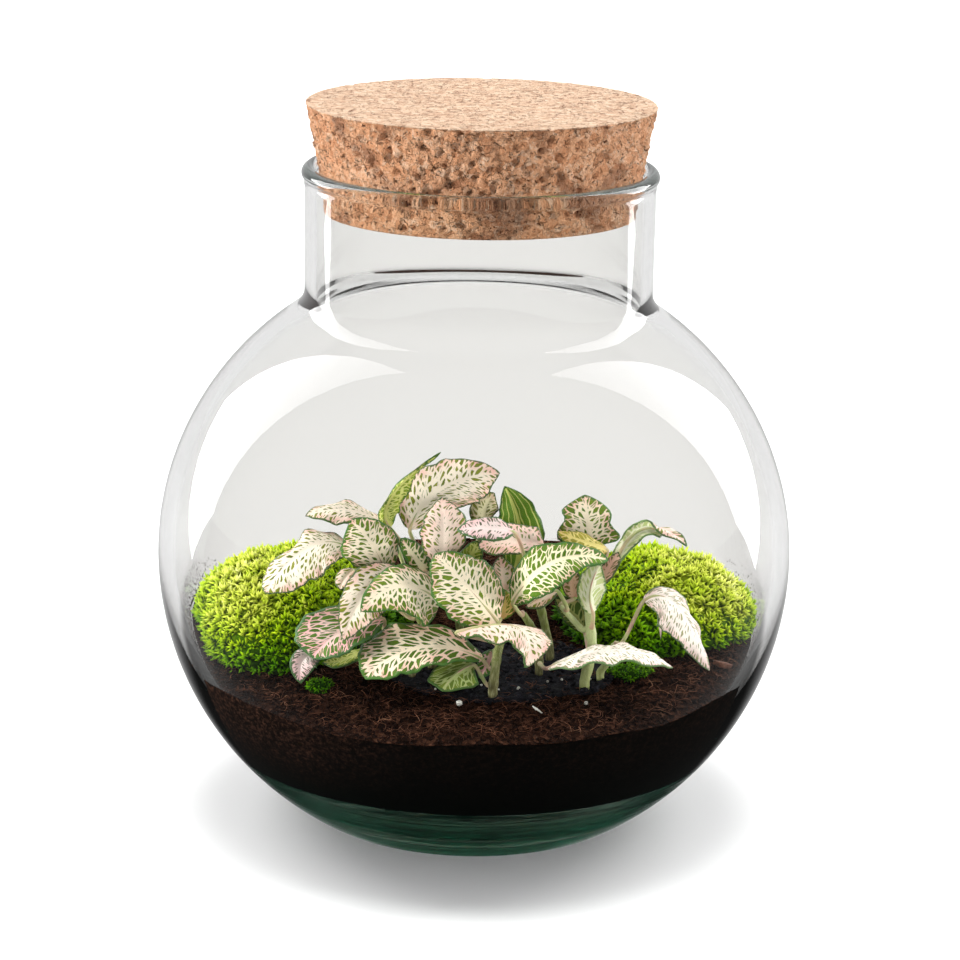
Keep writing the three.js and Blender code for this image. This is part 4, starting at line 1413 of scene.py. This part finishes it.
# ground, blush near the margin, cells, deeper cells, border, cell size along
# and across the side veins in mm, how thick the net is in the middle and at
# the margin, border width in mm, how far the blush reaches in mm.
Look = namedtuple("Look", "ground blush cell deep border size net rim reach")
LOOKS = {
    "dashed": Look((254, 240, 220), (248, 198, 184), (136, 142, 50), (102, 118, 38),
                   (94, 112, 72), (1.4, 2.2), (0.24, 0.19), 0.5, 4),
    "spotted": Look((254, 239, 212), (248, 198, 180), (116, 138, 42), (84, 112, 32),
                    (80, 120, 58), (1.6, 2.5), (0.2, 0.1), 0.75, 4),
    "net": Look((252, 240, 204), (244, 200, 176), (106, 136, 38), (74, 108, 28),
                (72, 114, 52), (1.7, 2.6), (0.13, 0.07), 0.85, 3),
    "broad": Look((252, 235, 208), (248, 196, 178), (92, 120, 34), (66, 94, 24),
                  (82, 122, 56), (2.3, 3.1), (0.16, 0.1), 1.0, 7),
    "rosy": Look((252, 230, 214), (248, 198, 186), (130, 138, 56), (100, 116, 44),
                 (88, 112, 66), (1.35, 2.2), (0.27, 0.21), 0.6, 6),
    "pink_net": Look((250, 218, 208), (246, 180, 180), (96, 130, 48), (72, 108, 38),
                     (80, 118, 68), (1.8, 2.6), (0.13, 0.08), 1.0, 10),
    "pink_strokes": Look((248, 230, 224), (240, 198, 198), (122, 116, 96), (98, 98, 74),
                         (80, 112, 68), (1.0, 2.5), (0.26, 0.18), 0.8, 5),
    "khaki": Look((228, 218, 178), (216, 184, 158), (142, 142, 70), (112, 116, 50),
                  (90, 106, 60), (1.2, 2.1), (0.24, 0.16), 0.6, 3),
    "ochre": Look((220, 204, 122), (210, 178, 112), (160, 150, 50), (132, 128, 36),
                  (100, 114, 48), (1.9, 2.9), (0.13, 0.09), 0.5, 3),
    "lime": Look((222, 224, 134), (202, 200, 112), (152, 168, 54), (114, 140, 40),
                 (80, 114, 52), (1.4, 2.3), (0.17, 0.1), 0.7, 3),
    "olive": Look((188, 202, 130), (184, 184, 122), (126, 144, 60), (94, 118, 44),
                  (86, 116, 60), (2.0, 3.2), (0.11, 0.07), 0.7, 3),
    "pale_under": Look((240, 242, 214), (230, 226, 190), (206, 214, 152), (184, 200, 126),
                       (118, 148, 90), (2.0, 3.4), (0.16, 0.12), 0.6, 3),
    "shaded": Look((156, 162, 96), (156, 144, 94), (76, 96, 36), (50, 70, 24),
                   (58, 80, 38), (1.9, 2.8), (0.11, 0.08), 0.7, 3),
    "brown": Look((228, 192, 166), (208, 156, 138), (124, 112, 62), (98, 92, 50),
                  (82, 94, 56), (1.3, 2.2), (0.24, 0.16), 0.7, 4),
    "grey_dashed": Look((254, 240, 230), (246, 212, 206), (164, 162, 118), (134, 138, 102),
                        (116, 142, 98), (1.1, 2.4), (0.25, 0.21), 0.5, 3),
    "bud": Look((226, 196, 120), (216, 166, 112), (134, 144, 46), (106, 122, 36),
                (88, 114, 44), (1.3, 2.0), (0.14, 0.09), 0.6, 3),
    "veined": Look((206, 210, 112), (200, 200, 102), (112, 150, 40), (84, 124, 30),
                   (70, 108, 40), (1.0, 1.0), (0.1, 0.1), 0.6, 1),
}
SIDE_VEINS = 4.6                 # mm between the side veins
QUILT, TOOTH = 0.14, 0.028       # mm between the veins, share of the width at the margin
THICKNESS, STALK_RADIUS = 0.5, 0.62


def leaf_finish(name, look):
    """Green cells held in a net of pale veins, with a dark crenate border."""
    leaf = Finish("leaf_" + name)
    along, across, _ = leaf.split(leaf.uv("blade_mm"))
    share = leaf.split(leaf.uv("blade"))
    rim, seed = leaf.value_of("rim"), leaf.value_of("seed")
    place = leaf.join(along, across, seed)
    slow, fine = leaf.noise(place, 0.3, 2.0), leaf.noise(place, 1.4, 3.0, 0.6)
    out = abs(across)
    side = leaf.math("SIGN", across) * 40.0
    bend = out * out * 0.018 - out * 0.85
    vein = along + bend + (slow - 0.5) * 1.8
    lane = out + (side + seed * 13.0) + (fine - 0.5) * 0.8
    if name == "veined":
        lines = share.y * 3.1 + (slow - 0.5) * 0.5
        off = abs(leaf.math("FRACT", lines) - 0.5)
        cell, pick = leaf.step(off, 0.06, 0.13), fine
    else:
        spot = leaf.join(vein / look.size[0], lane / look.size[1])
        flat = {"Vector": spot, "Scale": 1.0}
        edge = leaf.add("TexVoronoi", flat, voronoi_dimensions="2D", feature="DISTANCE_TO_EDGE")
        pick = leaf.split(leaf.add("TexVoronoi", flat, voronoi_dimensions="2D").outputs["Color"]).x
        net = leaf.step(rim, 0.8, 5.5, look.net[1], look.net[0])
        net = net + (pick - 0.45) * 0.14
        apart = edge.outputs["Distance"] - net
        cell = leaf.step(apart, -0.03, 0.05)
        comb = leaf.math("FRACT", vein / SIDE_VEINS)
        off = abs(comb - 0.5) * SIDE_VEINS
        open_vein = leaf.step(off, 0.4, 0.1) * leaf.step(rim, 0.8, 2.6)
        cell = cell * (1.0 - open_vein * 0.9)
    wide = leaf.step(share.x, 0.0, 1.0, 0.85, 0.15)
    midrib = leaf.step(out - wide, 0.35, 0.0)
    cell = cell * (1.0 - midrib)
    blush = leaf.step(rim, float(look.reach), 0.6) * leaf.step(slow, 0.35, 0.6, 0.3, 1.0)
    colour = leaf.mix(blush, tone(*look.ground), tone(*look.blush))
    green = leaf.mix(pick, tone(*look.cell), tone(*look.deep))
    colour = leaf.mix(cell, colour, green)
    ragged = leaf.step(fine, 0.3, 0.7, 0.35, 1.45) * look.rim
    border = leaf.step(rim - ragged, 0.12, -0.12)
    darker = tone(*(0.88 * part for part in look.border))
    colour = leaf.mix(border, colour, leaf.mix(slow, tone(*look.border), darker))
    height = leaf.math("MAXIMUM", cell, border)
    leaf.surface(Base_Color=colour, Roughness=0.5, Specular_IOR_Level=0.18,
                 Normal=leaf.bump(height, 0.00018, 0.7))
    return leaf.material


def stalk_finish():
    stalk = Finish("stalk")
    where = stalk.millimetres()
    pink = stalk.noise(where, 0.25, 2.0)
    colour = stalk.ramp(pink, [
        (0.35, tone(178, 190, 122)), (0.5, tone(200, 186, 142)), (0.65, tone(206, 164, 144)),
    ])
    down = stalk.noise(where, 3.0, 2.0)
    stalk.surface(Base_Color=colour, Roughness=0.5, Normal=stalk.bump(down, 0.0002))
    return stalk.material


def bezier(points, t):
    """A point on the curve of three or four control points."""
    while len(points) > 1:
        points = [a.lerp(b, t) for a, b in zip(points, points[1:])]
    return points[0]


def make_leaf(name, leaf, number, finishes):
    start, centre, end = Vector(leaf.base), Vector(leaf.middle), Vector(leaf.tip)
    rib = [start, 2 * centre - (start + end) / 2, end]
    middle_aim = (end - start).normalized()
    sides = (Vector(leaf.left) - centre, Vector(leaf.right) - centre)
    skew = log(0.5) / log(leaf.widest)
    lobes = LOBES.get(name, [])
    line = [bezier(rib, i / 100) for i in range(101)]
    reach = [0.0]
    for a, b in zip(line, line[1:]):
        reach.append(reach[-1] + (b - a).length)
    length = reach[-1]
    size = min(1.0, length / 30)

    def aim_at(u):
        return (rib[1] - rib[0]).lerp(rib[2] - rib[1], u).normalized()

    def section(u):
        """The midrib's point, both half sides, the upward way and the width there."""
        aim = aim_at(u)
        turn = Quaternion() if leaf.parallel else middle_aim.rotation_difference(aim)
        width = sin(pi * min(1, u) ** skew) ** leaf.blunt if 0 < u < 1 else 0
        if name in TWISTS:
            at, angle = TWISTS[name]
            turn = Quaternion(aim, angle * smooth_step(at - 0.13, at + 0.13, u)) @ turn
        found = []
        for way, side in zip((-1, 1), sides):
            turned_side = turn @ side
            spread = 0.8 * (1 - u ** 8) + (turned_side.length - 0.8) * width
            for lobe_side, at, half, amount in lobes:
                if lobe_side == way:
                    spread *= 1 + amount * exp(-((u - at) / half) ** 2)
            teeth = sin(2 * pi * u * length / SIDE_VEINS + way + number)
            teeth += 1.5 * ripple((u * length, 20 * way, number), 3.5, 8)
            spread *= 1 + TOOTH * teeth * min(1, 3 * width)
            turned_side -= aim * turned_side.dot(aim) * (1 - width)
            found.append(turned_side.normalized() * spread)
        normal = (found[1] - found[0]).cross(aim).normalized() if u < 1 else None
        return bezier(rib, u), found, normal, width

    rows, columns = max(22, ceil(length / 0.8)), max(14, ceil(sum(s.length for s in sides) / 0.9))
    columns += columns % 2
    shape = bmesh.new()
    share_map = shape.loops.layers.uv.new("blade")
    mm_map = shape.loops.layers.uv.new("blade_mm")
    rim_layer = shape.verts.layers.float.new("rim")
    seed_layer = shape.verts.layers.float.new("seed")
    bmesh.ops.create_grid(shape, x_segments=rows, y_segments=columns, size=1)
    stations = {}
    places, margin = [], []
    for vert in shape.verts:
        even = (vert.co.x + 1) / 2
        u = min(1, max(0, even - 0.7 * sin(2 * pi * even) / (2 * pi)))
        v = -vert.co.y
        key = round(even, 5)
        if key not in stations:
            stations[key] = section(min(u, 0.9999))
        point, (left, right), normal, width = stations[key]
        soft = sqrt(v * v + 0.012)
        out_left, out_right = (soft - v) / 2, (soft + v) / 2
        full = sqrt(1.012)
        place = point + left * out_left / ((full + 1) / 2) + right * out_right / ((full + 1) / 2)
        lift = 4 * abs(v) * (1 - abs(v)) * leaf.camber * width / 2
        side_length = (left if v < 0 else right).length
        wave = sin(2 * pi * (u * length / 11 + 0.13 * number) + (1.3 if v < 0 else 0))
        wave += 0.8 * ripple((place.x, place.y, place.z), 5, number)
        lift += 0.8 * size * wave * abs(v) ** 2.5 * min(1, width * 1.5)
        s = u * length
        q = s - 0.85 * abs(v) * side_length
        quilt = cos(2 * pi * q / SIDE_VEINS) * min(1, abs(v) * side_length / 3) * (1 - v ** 4)
        lift -= QUILT * size * quilt
        vert.co = place + normal * (lift + 0.25)
        vert[seed_layer] = number * 1.7
        places.append(vert.co.copy())
        if abs(v) > 0.999 and u > 0.02:
            margin.append(vert.co.copy())
        for loop in vert.link_loops:
            loop[share_map].uv = (u, v)
            loop[mm_map].uv = (s, v * side_length)
    spots, rim = np.array(places), np.array(margin)
    nearest = np.sqrt(((spots[:, None, :] - rim[None, :, :]) ** 2).sum(2)).min(1)
    for vert, distance in zip(shape.verts, nearest):
        vert[rim_layer] = distance
    bmesh.ops.remove_doubles(shape, verts=shape.verts, dist=1e-3)
    upper = list(shape.faces)
    shape.normal_update()
    bmesh.ops.solidify(shape, geom=upper, thickness=THICKNESS)
    shape.normal_update()
    for face in shape.faces:
        _, _, normal, _ = stations_at(stations, face, share_map, section)
        if face.normal.dot(normal) < -0.2:
            face.material_index = 1
    axis, seat, outward = seat_on_stem(leaf.stem, leaf.at, start)
    bend = 0.14 * (start - seat).length
    grow = [seat, seat + outward * bend, start - aim_at(0) * bend, start]
    path = [axis] + [bezier(grow, i / 12) for i in range(13)]
    radii = [0.8, 0.85] + [STALK_RADIUS] * 12
    for i in range(1, 13):
        u = 0.86 * i / 12
        point, _, normal, _ = section(u)
        path.append(point - normal * (0.12 + 0.2 * min(1, 4 * u)))
        radii.append(0.56 * size * (1 - u) + 0.1)
    sweep(shape, path, radii, 8, slot=2)
    keep(shape, "blade_" + name, finishes,
         ["leaf_" + name])


def stations_at(stations, face, share_map, section):
    u = sum(loop[share_map].uv.x for loop in face.loops) / len(face.loops)
    key = round(u, 2)
    if ("face", key) not in stations:
        stations["face", key] = section(min(0.99, max(0.01, key)))
    return stations["face", key]


def make_plant():
    make_stems()
    finishes = {name: leaf_finish(name, look) for name, look in LOOKS.items()}
    stalk = stalk_finish()
    for number, (name, leaf) in enumerate(LEAVES.items()):
        above, below = FACES[name]
        make_leaf(name, leaf, number, [finishes[above], finishes[below], stalk])


# ------------------------------------------------------------------- the build
def make_ground():
    soil = make_soil()
    make_crumbs(soil)
    make_fibres()
    make_root_ball()
    make_glass_dust(soil)
    make_bark_chip(soil)


set_camera()
set_studio()
make_jar()
make_cork()
make_ground()
make_moss()
make_plant()

boxes = {"cad": cad_box, "visual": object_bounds()}
{key: [list(corner) for corner in box] for key, box in boxes.items()}
